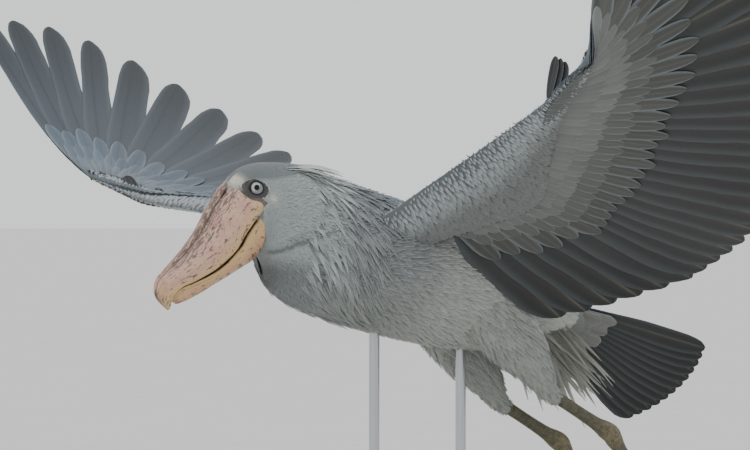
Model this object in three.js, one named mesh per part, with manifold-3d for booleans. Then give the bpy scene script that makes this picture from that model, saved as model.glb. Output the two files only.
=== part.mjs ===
// Shoebill in flight, wings raised, life size, held over a flat base by two rods.
// Millimetres, +Z up. The bird faces -Y and its left side is +X.
// The origin is the middle of the underside of the base.
import * as THREE from 'three';
import { mergeVertices } from 'three/addons/utils/BufferGeometryUtils.js';
import Module from 'manifold-3d';

const wasm = await Module();
wasm.setup();

const V = (x, y, z) => new THREE.Vector3(x, y, z);
const rad = THREE.MathUtils.degToRad;
const lerp = THREE.MathUtils.lerp;

// Gaps between neighbouring pieces
const GAP = 0.3;
const GROW = 0.36;

// The bird on its stand: height of the middle of the shoulders, nose-up pitch and left-wing-up roll
const SHOULDER_HEIGHT = 700;
const SHOULDER_BACK = -110;
const PITCH = 17;
const ROLL = 8;

// The head is held level, turned a little to the bird's right, bill drooping
const HEAD_PLACE = V(-18, -218, 9);
const HEAD_TURN = 16;
const BILL_DROOP = 50;
const BILL_LENGTH = 226;
const NOSTRIL = V(14.5, -33, 28.5);
const NOSTRIL_SIZE = V(2, 10, 4);
const EYEBALL_RADIUS = 12.5;
const IRIS_RADIUS = 9;
const EYE_SIDE = 30;

// Wing bones: lengths, then directions as [azimuth, elevation] in degrees from the body,
// azimuth 0 straight out, 90 straight back, elevation up
const SHOULDER_HALF = 85;
const HUMERUS = 205;
const ULNA = 245;
const HAND = 150;
const LEFT_ARM = { humerus: [38, 20], ulna: [-34, 16], hand: [-20, 15] };
const RIGHT_ARM = { humerus: [20, 27], ulna: [-32, 2], hand: [-8, 20] };

// Thickness of the fleshed arm over the bone and at its rear edge, from inside the body to the hand's tip
const ARM_THICKNESS = [
  [30, 14], [27, 12], [22, 9.5], [19, 9], [15, 8.5], [13, 8], [10, 7.5], [9, 7],
];
const ARM_INSIDE = 45;

// Flight feathers: 10 on the hand, 14 on the forearm, 5 on the upper arm.
// Each line is [number from the tip, azimuth, elevation, length, upward curve].
const PRIMARIES = 10;
const SECONDARIES = 14;
const TERTIALS = 5;
const FLIGHT_FEATHERS = PRIMARIES + SECONDARIES + TERTIALS;
const LEFT_FAN = [
  [0, -35, 60, 520, 0.12], [1, -3, 51, 550, 0.12], [2, 15, 43, 560, 0.12], [3, 25, 36, 555, 0.11],
  [5, 35, 25, 520, 0.1], [7, 43, 16, 480, 0.08], [9, 50, 9, 440, 0.06], [14, 63, 4, 400, 0.05],
  [18, 77, -2, 390, 0.04], [21, 87, -3, 380, 0.04], [24, 94, -6, 350, 0.04], [28, 96, -17, 285, 0.03],
];
const RIGHT_FAN = [
  [0, 3, 40, 520, 0.13], [1, 9, 43, 540, 0.13], [3, 26, 42, 550, 0.13], [5, 46, 38, 520, 0.11],
  [7, 64, 30, 480, 0.08], [9, 78, 24.5, 435, 0.06], [11, 88, 19, 410, 0.05], [14, 93, 14, 395, 0.05],
  [20, 95, 10, 375, 0.04], [24, 95, 8, 340, 0.04], [28, 92, 5, 260, 0.03],
];
const FAN_SMOOTHING = 3;

// Half widths of the flight feathers, the share of the way to the next feather that a vane may reach,
// and the step by which each vane lies over the next one towards the tip
const FLIGHT_HALF_WIDTH = 34;
const OUTER_HALF_WIDTH = 26;
const VANE_REACH = 0.8;
const VANE_STEP = 2.2;
const VANE_THICKNESS = 0.8;

// Outlines of the vanes: [share of the length, share of the half width]
const FLIGHT_OUTLINE = [[0, 0.12], [0.14, 0.4], [0.42, 1], [0.93, 0.85], [1, 0.3]];
const FINGER_OUTLINE = [[0, 0.14], [0.14, 0.42], [0.42, 1], [0.92, 0.7], [1, 0.22]];
const COVERT_OUTLINE = [[0, 0.4], [0.55, 1], [0.88, 0.85], [1, 0.36]];
const LOCK_OUTLINE = [[0, 0.5], [0.45, 1], [1, 0.12]];

// One tier of coverts lies on each face: the share of the flight feather that it covers on the hand and
// on the arm, its height over it and its half width
const COVERT_ON_HAND = 0.34;
const COVERT_ON_ARM = 0.43;
const COVERT_LIFT = 5.4;
const COVERT_HALF_WIDTH = 22;
// Alula: the share of the hand where each feather stands and its length
const ALULA = [[0.02, 70], [0.13, 62], [0.24, 52]];
const ALULA_HALF_WIDTH = 13;

// Tail: twelve feathers in a narrow fan, dropped and rolled with its left edge up
const TAIL_PLACE = V(0, 404, -4);
const TAIL_FEATHERS = 12;
const TAIL_LENGTH = 268;
const TAIL_HALF_FAN = 15;
const TAIL_HALF_WIDTH = 24;
const TAIL_DROP = 10;
const TAIL_ROLL = 38;

// Crest: locks that stand off the nape, in the head's frame
const CREST_LOCKS = 9;
const CREST_LENGTH = 118;
const CREST_HALF_FAN = 12;
const CREST_CURVE = -0.36;
const CREST_HALF_WIDTH = 5;

// Plumes of the breast lie back and down over the body. Each is [first section, degrees up from the
// side], mirrored on the other side.
const BREAST_PLUMES = [
  [0.7, 65], [0.7, 20], [0.7, -25], [1.6, 62], [1.6, -3], [1.6, -48], [2.5, 78], [2.5, -30], [2.5, -62],
];
const PLUME_SECTIONS = 1.9;
const PLUME_SWING = 20;
const PLUME_HALF_WIDTH = 8;
const PLUME_HEIGHTS = [-3.5, 5];

// Plumes of the vent hang back below the tail
const VENT_PLUMES = 7;
const VENT_LENGTH = 178;
const VENT_DROP = 32;
const VENT_HALF_WIDTH = 8;

// Legs trail below the tail: places of the joints on the left side, in the body frame
const HIP = V(58, 235, -62);
const TIBIA_START = V(60, 372, -158);
const ANKLE = V(60, 498, -184);
const TARSUS_LENGTH = 240;
const TARSUS_DROP = 38;
const TIBIA_RADIUS = 9;
const ANKLE_RADIUS = 14;
const TARSUS_RADIUS = 8.5;
const MIDDLE_TOE = 175;

// Stand: a flat base and two rods up to the belly
const BASE_LENGTH = 620;
const BASE_WIDTH = 520;
const BASE_HEIGHT = 22;
const BASE_CORNER = 60;
const BASE_EDGE = 2;
const ROD_RADIUS = 8;
const ROD_PLACES = [-85, 85];

// Body outline. Each section is [top back, top up, bottom back, bottom up, half width] and, where the
// body bends sideways, the sideways place of its top and bottom.
const HEAD_SECTIONS = [
  [-42, -2, -30, -30, 20],
  [-33, 12, -10, -72, 37],
  [-14, 29, 10, -96, 45],
  [10, 37, 20, -106, 50],
  [38, 38, 32, -126, 55],
];
const NECK_SECTIONS = [
  [-164, 60, -136, -129, 61, 6, -20],
  [-128, 64.5, -104, -145, 67, 4, -12],
  [-90, 66, -70, -148, 75, 2, -5],
  [-50, 66.5, -42, -147, 85],
  [-20, 67, -20, -146, 94],
];
const TORSO_SECTIONS = [
  [10, 67.5, 10, -145, 103],
  [60, 67, 60, -142, 112],
  [130, 62, 130, -134, 114],
  [200, 54, 200, -124, 108],
  [270, 44, 270, -108, 93],
  [330, 34, 330, -86, 72],
  [385, 23, 385, -56, 50],
  [425, 13, 425, -30, 32],
];
const HEAD_CUT = { top: [-176, 58], bottom: [-147, -116] };
const NECK_CUT = -20;
const TAIL_CUT = 405;
const BODY_SIDES = 20;

// Materials
const finish = (name, colour, roughness, metalness = 0) =>
  new THREE.MeshStandardMaterial({ name, color: colour, roughness, metalness });
const PALE_PLUMAGE = () => finish('pale_plumage', 0x9aa09f, 0.9);
const NECK_PLUMAGE = () => finish('neck_plumage', 0x878c8d, 0.9);
const WING_PLUMAGE = () => finish('wing_plumage', 0x5a6b78, 0.75);
const BILL_HORN = () => finish('bill_horn', 0xb08f80, 0.5);
const EYE_SURFACE = () => finish('eye', 0xb9beb8, 0.1);
const LEG_SKIN = () => finish('leg_skin', 0x484c35, 0.7);
const STAND_STEEL = () => finish('stand_steel', 0xb8babc, 0.35, 0.9);
const STAND_PAINT = () => finish('stand_paint', 0x3a3d40, 0.6);

// Closed solids from rings of points. Both faces of a thin piece are split alike.
function loft(rings, alike = false) {
  const count = rings[0].length;
  const positions = rings.flat().flatMap((p) => [p.x, p.y, p.z]);
  const index = [];
  for (let i = 0; i < rings.length - 1; i++) {
    for (let j = 0; j < count; j++) {
      const a = i * count + j;
      const b = i * count + (j + 1) % count;
      const c = b + count;
      const d = a + count;
      if (alike && j >= count / 2) index.push(a, b, d, b, c, d);
      else index.push(a, b, c, a, c, d);
    }
  }
  const last = (rings.length - 1) * count;
  for (let j = 1; j < count - 1; j++) {
    index.push(0, j + 1, j, last, last + j, last + j + 1);
  }
  const geometry = new THREE.BufferGeometry();
  geometry.setAttribute('position', new THREE.Float32BufferAttribute(positions, 3));
  geometry.setIndex(signedVolume(positions, index) < 0 ? index.reverse() : index);
  return geometry;
}

function signedVolume(positions, index) {
  const corner = (k) => V(positions[3 * k], positions[3 * k + 1], positions[3 * k + 2]);
  let volume = 0;
  for (let k = 0; k < index.length; k += 3) {
    volume += corner(index[k]).dot(corner(index[k + 1]).cross(corner(index[k + 2])));
  }
  return volume;
}

function solid(geometry, matrix) {
  const bare = geometry.clone();
  bare.deleteAttribute('normal');
  bare.deleteAttribute('uv');
  if (matrix) bare.applyMatrix4(matrix);
  const merged = mergeVertices(bare, 1e-4);
  return new wasm.Manifold(new wasm.Mesh({
    numProp: 3,
    vertProperties: new Float32Array(merged.attributes.position.array),
    triVerts: new Uint32Array(merged.index.array),
  }));
}

function largest(manifold) {
  const bodies = manifold.decompose();
  return bodies.reduce((best, body) => (body.volume() > best.volume() ? body : best));
}

function join(pieces) {
  return pieces.reduce((whole, piece) => whole.add(piece));
}

function toGeometry(manifold) {
  const mesh = manifold.getMesh();
  const geometry = new THREE.BufferGeometry();
  geometry.setAttribute('position', new THREE.BufferAttribute(mesh.vertProperties, 3));
  geometry.setIndex(new THREE.BufferAttribute(mesh.triVerts, 1));
  geometry.computeVertexNormals();
  return geometry;
}

function part(name, manifold, material) {
  const mesh = new THREE.Mesh(toGeometry(largest(manifold)), material);
  mesh.name = name;
  return mesh;
}

// Frames
const attitude = new THREE.Matrix4().makeRotationFromEuler(
  new THREE.Euler(rad(-PITCH), rad(-ROLL), 0, 'XYZ'));
const headPose = new THREE.Matrix4().makeTranslation(HEAD_PLACE.x, HEAD_PLACE.y, HEAD_PLACE.z)
  .multiply(attitude.clone().invert())
  .multiply(new THREE.Matrix4().makeRotationZ(rad(-HEAD_TURN)));
const billPose = headPose.clone().multiply(new THREE.Matrix4().makeRotationX(rad(BILL_DROOP)));

// A direction on one side of the body
function direction(side, azimuth, elevation) {
  const a = rad(azimuth);
  const e = rad(elevation);
  return V(side * Math.cos(e) * Math.cos(a), Math.cos(e) * Math.sin(a), Math.sin(e));
}

// Head, neck and torso are one lofted body, parted with thin cuts
function bodyRing([topBack, topUp, bottomBack, bottomUp, half, topSide = 0, bottomSide = 0], grow) {
  const top = V(topSide, topBack, topUp);
  const bottom = V(bottomSide, bottomBack, bottomUp);
  const middle = top.clone().add(bottom).multiplyScalar(0.5);
  const rise = top.clone().sub(bottom).multiplyScalar(0.5);
  rise.setLength(rise.length() + grow);
  return Array.from({ length: BODY_SIDES }, (_, k) => {
    const angle = (2 * Math.PI * (k + 0.5)) / BODY_SIDES;
    return middle.clone()
      .addScaledVector(rise, Math.sin(angle))
      .add(V((half + grow) * Math.cos(angle), 0, 0));
  });
}

function bodyRings(grow) {
  const head = HEAD_SECTIONS.map((section) => bodyRing(section, grow)
    .map((p) => p.applyMatrix4(headPose)));
  const rest = [...NECK_SECTIONS, ...TORSO_SECTIONS].map((section) => bodyRing(section, grow));
  return [...head, ...rest];
}

const wholeBody = solid(loft(bodyRings(0)));
const grownBody = solid(loft(bodyRings(GROW)));

const headCutTop = V(0, ...HEAD_CUT.top);
const headCutBottom = V(0, ...HEAD_CUT.bottom);
const headCutNormal = headCutTop.clone().sub(headCutBottom).cross(V(1, 0, 0)).normalize();
const headCutPlace = headCutNormal.dot(headCutTop);

function keepAhead(manifold, normal, place) {
  return manifold.trimByPlane(normal.toArray(), place + GAP / 2);
}

function keepBehind(manifold, normal, place) {
  return manifold.trimByPlane(normal.clone().negate().toArray(), GAP / 2 - place);
}

// Bill: the upper half with its keeled ridge and hooked nail, the lower half a shallow trough.
// Sections run from the base to the tip: [along, top, bottom, half width].
const UPPER_BILL = [
  [-30, 34, -26, 44], [14, 34, -28, 50], [58, 31.5, -29, 53], [100, 23.5, -34, 52],
  [134, 20.5, -29.5, 46], [168, 22, -19, 36], [190, 23, -9, 27], [206, 21.5, -10, 17],
  [218, 14, -17, 10], [BILL_LENGTH, 2, -22, 4],
];
const LOWER_BILL = [
  [-20, -34, -92, 40], [30, -33, -86, 46], [65, -35, -77, 47], [90, -39, -73, 46],
  [134, -35.5, -57, 39], [168, -22, -45, 29], [192, -11, -36, 19], [208, -13, -27, 9],
];

function upperBillRing([along, top, bottom, half]) {
  const depth = top - bottom;
  const side = [[0.16, 0], [0.3, 0.1], [0.72, 0.34], [0.98, 0.68], [0.95, 1]];
  const left = side.map(([out, down]) => V(out * half, -along, top - down * depth));
  const right = left.map((p) => V(-p.x, p.y, p.z)).reverse();
  return [...left, ...right];
}

function lowerBillRing([along, top, bottom, half]) {
  const depth = top - bottom;
  const side = [[0.92, 0], [0.97, 0.25], [0.72, 0.72], [0.25, 1]];
  const left = side.map(([out, down]) => V(out * half, -along, top - down * depth));
  const right = left.map((p) => V(-p.x, p.y, p.z)).reverse();
  return [...left, ...right];
}

// The face ends on two planes: a slanting one behind the upper bill, an upright one behind the lower.
// In the head frame, back and up.
const GAPE = [15, -27];
const FOREHEAD = [-36, 12.5];
function faceWedge(shrink) {
  const beyondForehead = 1.8;
  const far = [GAPE, FOREHEAD].reduce((gape, brow) => gape.map(
    (value, k) => lerp(value, brow[k], beyondForehead)));
  const shape = new THREE.Shape();
  shape.moveTo(GAPE[0] - shrink, GAPE[1] - 1.6 * shrink);
  shape.lineTo(far[0], far[1] - 1.3 * shrink);
  shape.lineTo(-400, far[1] - 1.3 * shrink);
  shape.lineTo(-400, -300);
  shape.lineTo(GAPE[0] - shrink, -300);
  const geometry = new THREE.ExtrudeGeometry(shape, { depth: 300, bevelEnabled: false });
  geometry.translate(0, 0, -150);
  const turn = new THREE.Matrix4().makeBasis(V(0, 1, 0), V(0, 0, 1), V(1, 0, 0));
  return solid(geometry, headPose.clone().multiply(turn));
}

function eyePlace(side) {
  return V(side * EYE_SIDE, 0, 0);
}

function eyeSolid(side, radius) {
  const ball = new THREE.SphereGeometry(radius, 16, 10);
  const place = eyePlace(side);
  ball.translate(place.x, place.y, place.z);
  return solid(ball, headPose);
}

function aroundEye(side, geometry, out) {
  geometry.rotateZ(-side * Math.PI / 2);
  const place = eyePlace(side);
  geometry.translate(place.x + side * out, place.y, place.z);
  return solid(geometry, headPose);
}

function headSolid() {
  let head = keepBehind(wholeBody, headCutNormal, headCutPlace);
  for (const side of [1, -1]) {
    const lid = new THREE.TorusGeometry(IRIS_RADIUS + 2.6, 2.6, 6, 16);
    lid.rotateX(Math.PI / 2);
    head = head.add(aroundEye(side, lid, EYEBALL_RADIUS - 4));
    head = head.subtract(eyeSolid(side, EYEBALL_RADIUS + GROW));
    const opening = new THREE.CylinderGeometry(IRIS_RADIUS, IRIS_RADIUS, 30, 16);
    head = head.subtract(aroundEye(side, opening, 20));
  }
  const neck = keepAhead(grownBody, headCutNormal, headCutPlace - GAP);
  const crest = join(locks(crestLocks, CREST_HALF_WIDTH, headPose)).subtract(neck);
  return head.subtract(faceWedge(0)).add(crest);
}

function billSolid(sections, ring) {
  return solid(loft(sections.map(ring)), billPose).intersect(faceWedge(GAP));
}

// Nostrils are slits low on either side of the ridge
function nostrils() {
  return join([1, -1].map((side) => {
    const slit = new THREE.SphereGeometry(1, 8, 6);
    slit.rotateX(Math.PI / 2);
    slit.scale(NOSTRIL_SIZE.x, NOSTRIL_SIZE.y, NOSTRIL_SIZE.z);
    slit.translate(side * NOSTRIL.x, NOSTRIL.y, NOSTRIL.z);
    return solid(slit, billPose);
  }));
}

// Wings
function wingBones(side, arm) {
  const shoulder = V(side * SHOULDER_HALF, 0, 0);
  const elbow = shoulder.clone().addScaledVector(direction(side, ...arm.humerus), HUMERUS);
  const wrist = elbow.clone().addScaledVector(direction(side, ...arm.ulna), ULNA);
  const tip = wrist.clone().addScaledVector(direction(side, ...arm.hand), HAND);
  return { shoulder, elbow, wrist, tip };
}

// Values for every feather: between the lines of a fan, then evened out so that no two vanes cross
function fanValues(fan) {
  let values = Array.from({ length: FLIGHT_FEATHERS }, (_, i) => {
    const next = Math.max(fan.findIndex((line) => line[0] >= i), 1);
    const a = fan[next - 1];
    const b = fan[next];
    return a.map((value, k) => lerp(value, b[k], (i - a[0]) / (b[0] - a[0])));
  });
  for (let pass = 0; pass < FAN_SMOOTHING; pass++) {
    values = values.map((line, i) => line.map((value, k) => {
      if (i === 0 || i === FLIGHT_FEATHERS - 1) return value;
      return (values[i - 1][k] + 2 * value + values[i + 1][k]) / 4;
    }));
  }
  return values;
}

function featherRoot(bones, i) {
  const { shoulder, elbow, wrist, tip } = bones;
  if (i < PRIMARIES) return wrist.clone().lerp(tip, 1 - (0.92 * i) / (PRIMARIES - 1));
  if (i < PRIMARIES + SECONDARIES) {
    return wrist.clone().lerp(elbow, (0.97 * (i - PRIMARIES + 0.5)) / (SECONDARIES - 0.5));
  }
  return elbow.clone().lerp(shoulder, (0.6 * (i - PRIMARIES - SECONDARIES + 1)) / TERTIALS);
}

function wingFeathers(side, arm, fan) {
  const bones = wingBones(side, arm);
  return { bones, feathers: inFan(fanValues(fan).map(([, azimuth, elevation, length, curve], i) => ({
    side, root: featherRoot(bones, i), along: direction(side, azimuth, elevation), length, curve,
  }))) };
}

// Feathers that lie side by side, from the outermost one in; they face up together
function inFan(feathers) {
  const middle = (f) => f.root.clone().addScaledVector(f.along, 0.6 * f.length);
  feathers.forEach((f, i) => {
    const outer = middle(feathers[Math.max(i - 1, 0)]);
    const inner = middle(feathers[Math.min(i + 1, feathers.length - 1)]);
    Object.assign(f, { fan: feathers, number: i }, frameFrom(f, outer.sub(inner)));
  });
  return feathers;
}

function frameFrom(feather, toOuter) {
  const across = toOuter.clone();
  across.addScaledVector(feather.along, -across.dot(feather.along)).normalize();
  return { across, up: across.clone().cross(feather.along).multiplyScalar(feather.side) };
}

// A point on the middle line of a feather, u from root to tip
function onFeather(feather, u) {
  return feather.root.clone()
    .addScaledVector(feather.along, feather.length * u)
    .addScaledVector(feather.up, feather.curve * feather.length * (u * u - u));
}

// The surface through the lines of a fan: so many feathers inwards of this one
function besideFeather({ fan, number }, inwards, u) {
  const i = THREE.MathUtils.clamp(Math.floor(number + inwards), 0, fan.length - 2);
  return onFeather(fan[i], u).lerp(onFeather(fan[i + 1], u), number + inwards - i);
}

function frameOn(feather, u) {
  return frameFrom(feather, besideFeather(feather, -1, u).sub(besideFeather(feather, 1, u)));
}

// A vane is a thin plate on the fan's surface, from a feather's root to a share of its length. Its outer
// edge is raised and its inner edge lowered, so neighbours lie over one another without crossing.
function vane(feather, { outline, half, to = 1, lift = 0 }) {
  return loft(outline.map(([u, width]) => {
    const share = to * u;
    const { up } = frameOn(feather, share);
    const apart = besideFeather(feather, -1, share).distanceTo(besideFeather(feather, 1, share)) / 2;
    const reach = Math.min(VANE_REACH, (half * width) / apart);
    const edge = (inwards, rise) => besideFeather(feather, inwards, share)
      .addScaledVector(up, lift - VANE_STEP * inwards + rise);
    const thick = VANE_THICKNESS / 2;
    return [edge(-reach, thick), edge(reach, thick), edge(reach, -thick), edge(-reach, -thick)];
  }), true);
}

// The fleshed arm: sections from the front edge to behind the bones, thickest over the bone
function armSection([front, back, up], station) {
  const [thick, edge] = ARM_THICKNESS[station];
  const profile = [[0.1, 0.3], [0.45, 0.62], [0.78, 1]];
  const point = (along, rise) => front.clone().lerp(back, along).addScaledVector(up, rise);
  const top = profile.map(([along, part]) => point(along, part * thick));
  const bottom = profile.map(([along, part]) => point(along, -part * thick)).reverse();
  return [point(0, 0), ...top, point(1, edge), point(1, -edge), ...bottom];
}

function armSolid(side, { bones, feathers }) {
  const { shoulder, elbow, wrist, tip } = bones;
  const at = (i) => feathers[i];
  const up = (i) => frameOn(feathers[i], 0).up;
  const inside = V(-side * ARM_INSIDE, 0, -4);
  const frontRoot = shoulder.clone().add(V(0, -34, 4));
  const backRoot = shoulder.clone().add(V(0, 62, -2));
  const last = FLIGHT_FEATHERS - 1;
  const behind = (point, feather, reach) => point.clone().addScaledVector(feather.along, reach);
  const wristFront = behind(wrist, at(PRIMARIES), -20);
  const frontEdge = (f) => frontRoot.clone().lerp(wristFront, f);
  const upper = shoulder.clone().lerp(elbow, 0.45);
  const forearm = elbow.clone().lerp(wrist, 0.5);
  const hand = wrist.clone().lerp(tip, 0.5);
  const elbowFeather = PRIMARIES + SECONDARIES;
  const forearmFeather = PRIMARIES + 6;
  return solid(loft([
    [frontRoot.clone().add(inside), backRoot.clone().add(inside), up(last)],
    [frontRoot, backRoot, up(last)],
    [frontEdge(0.26), behind(upper, at(last), 42), up(last)],
    [frontEdge(0.55), behind(elbow, at(elbowFeather), 30), up(elbowFeather)],
    [frontEdge(0.8), behind(forearm, at(forearmFeather), 26), up(forearmFeather)],
    [wristFront, behind(wrist, at(PRIMARIES), 26), up(PRIMARIES)],
    [behind(hand, at(5), -15), behind(hand, at(5), 24), up(5)],
    [behind(tip, at(1), -9), behind(tip, at(0), 16), up(1)],
  ].map(armSection)));
}

function flightVanes(feathers) {
  return feathers.map((feather, i) => {
    const fingered = i < 5;
    return solid(vane(feather, {
      outline: fingered ? FINGER_OUTLINE : FLIGHT_OUTLINE,
      half: i === 0 ? OUTER_HALF_WIDTH : FLIGHT_HALF_WIDTH,
    }));
  });
}

// Coverts follow the flight feathers beneath them, on the back and on the underside of the wing
function covertVanes(feathers) {
  return [COVERT_LIFT, -COVERT_LIFT].flatMap((lift) => feathers.map((feather) => {
    const onArm = THREE.MathUtils.smoothstep(feather.number, 0, PRIMARIES + 2);
    return solid(vane(feather, {
      outline: COVERT_OUTLINE,
      half: COVERT_HALF_WIDTH,
      to: lerp(COVERT_ON_HAND, COVERT_ON_ARM, onArm),
      lift,
    }));
  }));
}

// Three short stiff feathers on the thumb, along the front of the hand
function alulaVanes({ bones, feathers }) {
  const { side, along, across } = feathers[0];
  return inFan(ALULA.map(([share, length], i) => ({
    side,
    root: bones.wrist.clone().lerp(bones.tip, share).addScaledVector(across, 12 - 5 * i),
    along,
    length,
    curve: 0.05,
  }))).map((feather) => solid(vane(feather, { outline: COVERT_OUTLINE, half: ALULA_HALF_WIDTH })));
}

function wingSolid(side, arm, fan) {
  const wing = wingFeathers(side, arm, fan);
  const pieces = [
    armSolid(side, wing), ...flightVanes(wing.feathers), ...covertVanes(wing.feathers),
    ...alulaVanes(wing),
  ];
  return join(pieces).subtract(grownBody);
}

// Tail
const tailPose = new THREE.Matrix4().makeTranslation(TAIL_PLACE.x, TAIL_PLACE.y, TAIL_PLACE.z)
  .multiply(new THREE.Matrix4().makeRotationFromEuler(
    new THREE.Euler(rad(-TAIL_DROP), rad(-TAIL_ROLL), 0, 'XYZ')));

// A small fan of feathers from left to right: share runs from 1 to -1
function smallFan(count, feather) {
  return inFan(Array.from({ length: count }, (_, i) => ({
    side: 1, ...feather(1 - (2 * i) / (count - 1)),
  })));
}

const tailFeathers = smallFan(TAIL_FEATHERS, (share) => ({
  root: V(20 * share, 6, -3 * share * share),
  along: direction(1, 90 - TAIL_HALF_FAN * share, 0),
  length: TAIL_LENGTH * (1 - 0.06 * share * share),
  curve: 0.03,
}));

const crestLocks = smallFan(CREST_LOCKS, (share) => ({
  root: V(22 * share, 44 - 6 * share * share, 29 - 5 * share * share),
  along: direction(1, 90 - CREST_HALF_FAN * share, -3),
  length: CREST_LENGTH * (1 - 0.35 * share * share),
  curve: CREST_CURVE,
}));

const ventPlumes = smallFan(VENT_PLUMES, (share) => ({
  root: V(24 * share, 378 - 12 * share * share, -30),
  along: direction(1, 90 - 6 * share, -VENT_DROP),
  length: VENT_LENGTH * (1 - 0.25 * share * share),
  curve: -0.08,
}));

function locks(fan, half, pose) {
  return fan.map((lock) => solid(vane(lock, { outline: LOCK_OUTLINE, half }), pose));
}

function tailSolid() {
  const ring = (back, half, high, drop) => Array.from({ length: 12 }, (_, k) => {
    const angle = (2 * Math.PI * k) / 12;
    return V(half * Math.cos(angle), back, drop + high * Math.sin(angle));
  });
  const base = solid(loft([
    ring(-30, 40, 26, -4), ring(0, 38, 23, -5), ring(30, 33, 16, -4), ring(58, 26, 7, -2),
  ]), tailPose);
  const vanes = tailFeathers.map((feather) => solid(
    vane(feather, { outline: FLIGHT_OUTLINE, half: TAIL_HALF_WIDTH }), tailPose));
  return keepAhead(join([base, ...vanes]), V(0, 1, 0), TAIL_CUT);
}

// Breast plumes follow the body's surface from one section to another, rising off it
const breastRings = [...NECK_SECTIONS, ...TORSO_SECTIONS].map((section) => bodyRing(section, 0));

function onBreast(section, degrees) {
  const k = (degrees / 360) * BODY_SIDES - 0.5 + BODY_SIDES;
  const i = Math.floor(section);
  const j = Math.floor(k);
  const [near, far] = [breastRings[i], breastRings[i + 1]].map((ring) =>
    ring[j % BODY_SIDES].clone().lerp(ring[(j + 1) % BODY_SIDES], k - j));
  return near.lerp(far, section - i);
}

function plume(section, degrees, swing) {
  const line = (u) => onBreast(section + PLUME_SECTIONS * u, degrees - swing * u);
  const along = line(1).sub(line(0)).normalize();
  return solid(loft(LOCK_OUTLINE.map(([u, width]) => {
    const place = line(u);
    const around = onBreast(section + PLUME_SECTIONS * u, degrees - swing * u + 5).sub(place);
    const up = along.clone().cross(around).normalize();
    if (up.dot(V(place.x, 0, place.z + 40)) < 0) up.negate();
    const out = up.clone().cross(along).multiplyScalar(PLUME_HALF_WIDTH * width);
    const thick = up.clone().multiplyScalar(VANE_THICKNESS / 2);
    place.addScaledVector(up, lerp(...PLUME_HEIGHTS, u));
    return [
      place.clone().add(out).add(thick), place.clone().sub(out).add(thick),
      place.clone().sub(out).sub(thick), place.clone().add(out).sub(thick),
    ];
  }), true));
}

function neckSolid() {
  const neck = keepBehind(keepAhead(wholeBody, headCutNormal, headCutPlace), V(0, 1, 0), NECK_CUT);
  const plumes = BREAST_PLUMES.flatMap(([section, degrees]) => [
    plume(section, degrees, PLUME_SWING), plume(section, 180 - degrees, -PLUME_SWING),
  ]);
  const behind = keepAhead(grownBody, V(0, 1, 0), NECK_CUT - GAP);
  return join([neck, ...plumes.map((lock) => lock.subtract(behind))]);
}

function torsoSolid() {
  const torso = keepBehind(keepAhead(wholeBody, V(0, 1, 0), NECK_CUT), V(0, 1, 0), TAIL_CUT);
  return join([torso, ...locks(ventPlumes, VENT_HALF_WIDTH)]);
}

// Legs
function tube(stations, sides = 10) {
  const places = stations.map(([place]) => place);
  return solid(loft(stations.map(([place, across, high], i) => {
    const before = places[Math.max(i - 1, 0)];
    const after = places[Math.min(i + 1, places.length - 1)];
    const along = after.clone().sub(before).normalize();
    const out = V(1, 0, 0).addScaledVector(along, -along.x).normalize();
    const up = out.clone().cross(along);
    return Array.from({ length: sides }, (_, k) => {
      const angle = (2 * Math.PI * (k + 0.5)) / sides;
      return place.clone()
        .addScaledVector(out, across * Math.cos(angle))
        .addScaledVector(up, (high ?? across) * Math.sin(angle));
    });
  })));
}

const tarsusAlong = V(0, Math.cos(rad(TARSUS_DROP)), -Math.sin(rad(TARSUS_DROP)));
const footPlace = ANKLE.clone().addScaledVector(tarsusAlong, TARSUS_LENGTH);
const tibiaAlong = ANKLE.clone().sub(TIBIA_START).normalize();
const sole = V(0, Math.sin(rad(TARSUS_DROP)), Math.cos(rad(TARSUS_DROP)));
const onTibia = (reach) => TIBIA_START.clone().addScaledVector(tibiaAlong, reach);
const onTarsus = (reach) => ANKLE.clone().addScaledVector(tarsusAlong, reach);
const kneeCut = tibiaAlong.dot(TIBIA_START);
const ankleAlong = tibiaAlong.clone().add(tarsusAlong).normalize();
const ankleCut = ankleAlong.dot(ANKLE);
const footCut = tarsusAlong.dot(footPlace) - 12;

function thighSolid() {
  const whole = tube([
    [HIP.clone().add(V(-14, -70, 34)), 40, 52],
    [HIP.clone().add(V(-4, -20, 10)), 48, 62],
    [HIP.clone().lerp(TIBIA_START, 0.4), 40, 50],
    [HIP.clone().lerp(TIBIA_START, 0.72), 27, 31],
    [onTibia(-6), 16, 17],
    [onTibia(14), 13, 14],
  ], 14);
  return keepBehind(whole, tibiaAlong, kneeCut).subtract(grownBody);
}

function shankSolid() {
  const length = ANKLE.distanceTo(TIBIA_START);
  const whole = tube([
    [onTibia(-4), TIBIA_RADIUS + 1],
    [onTibia(0.3 * length), TIBIA_RADIUS],
    [onTibia(0.72 * length), TIBIA_RADIUS + 1],
    [onTibia(length - 14), ANKLE_RADIUS - 0.5, ANKLE_RADIUS + 1],
    [onTibia(length + 16), ANKLE_RADIUS - 0.5, ANKLE_RADIUS + 1],
  ]);
  return keepBehind(keepAhead(whole, tibiaAlong, kneeCut), ankleAlong, ankleCut);
}

function tarsusSolid() {
  const whole = tube([
    [onTarsus(-18), ANKLE_RADIUS - 0.5, ANKLE_RADIUS + 1],
    [onTarsus(12), ANKLE_RADIUS - 1, ANKLE_RADIUS],
    [onTarsus(38), TARSUS_RADIUS + 1],
    [onTarsus(0.5 * TARSUS_LENGTH), TARSUS_RADIUS],
    [onTarsus(TARSUS_LENGTH - 34), TARSUS_RADIUS + 0.5],
    [onTarsus(TARSUS_LENGTH - 8), ANKLE_RADIUS - 1, ANKLE_RADIUS - 2],
  ]);
  return keepBehind(keepAhead(whole, ankleAlong, ankleCut), tarsusAlong, footCut);
}

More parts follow.
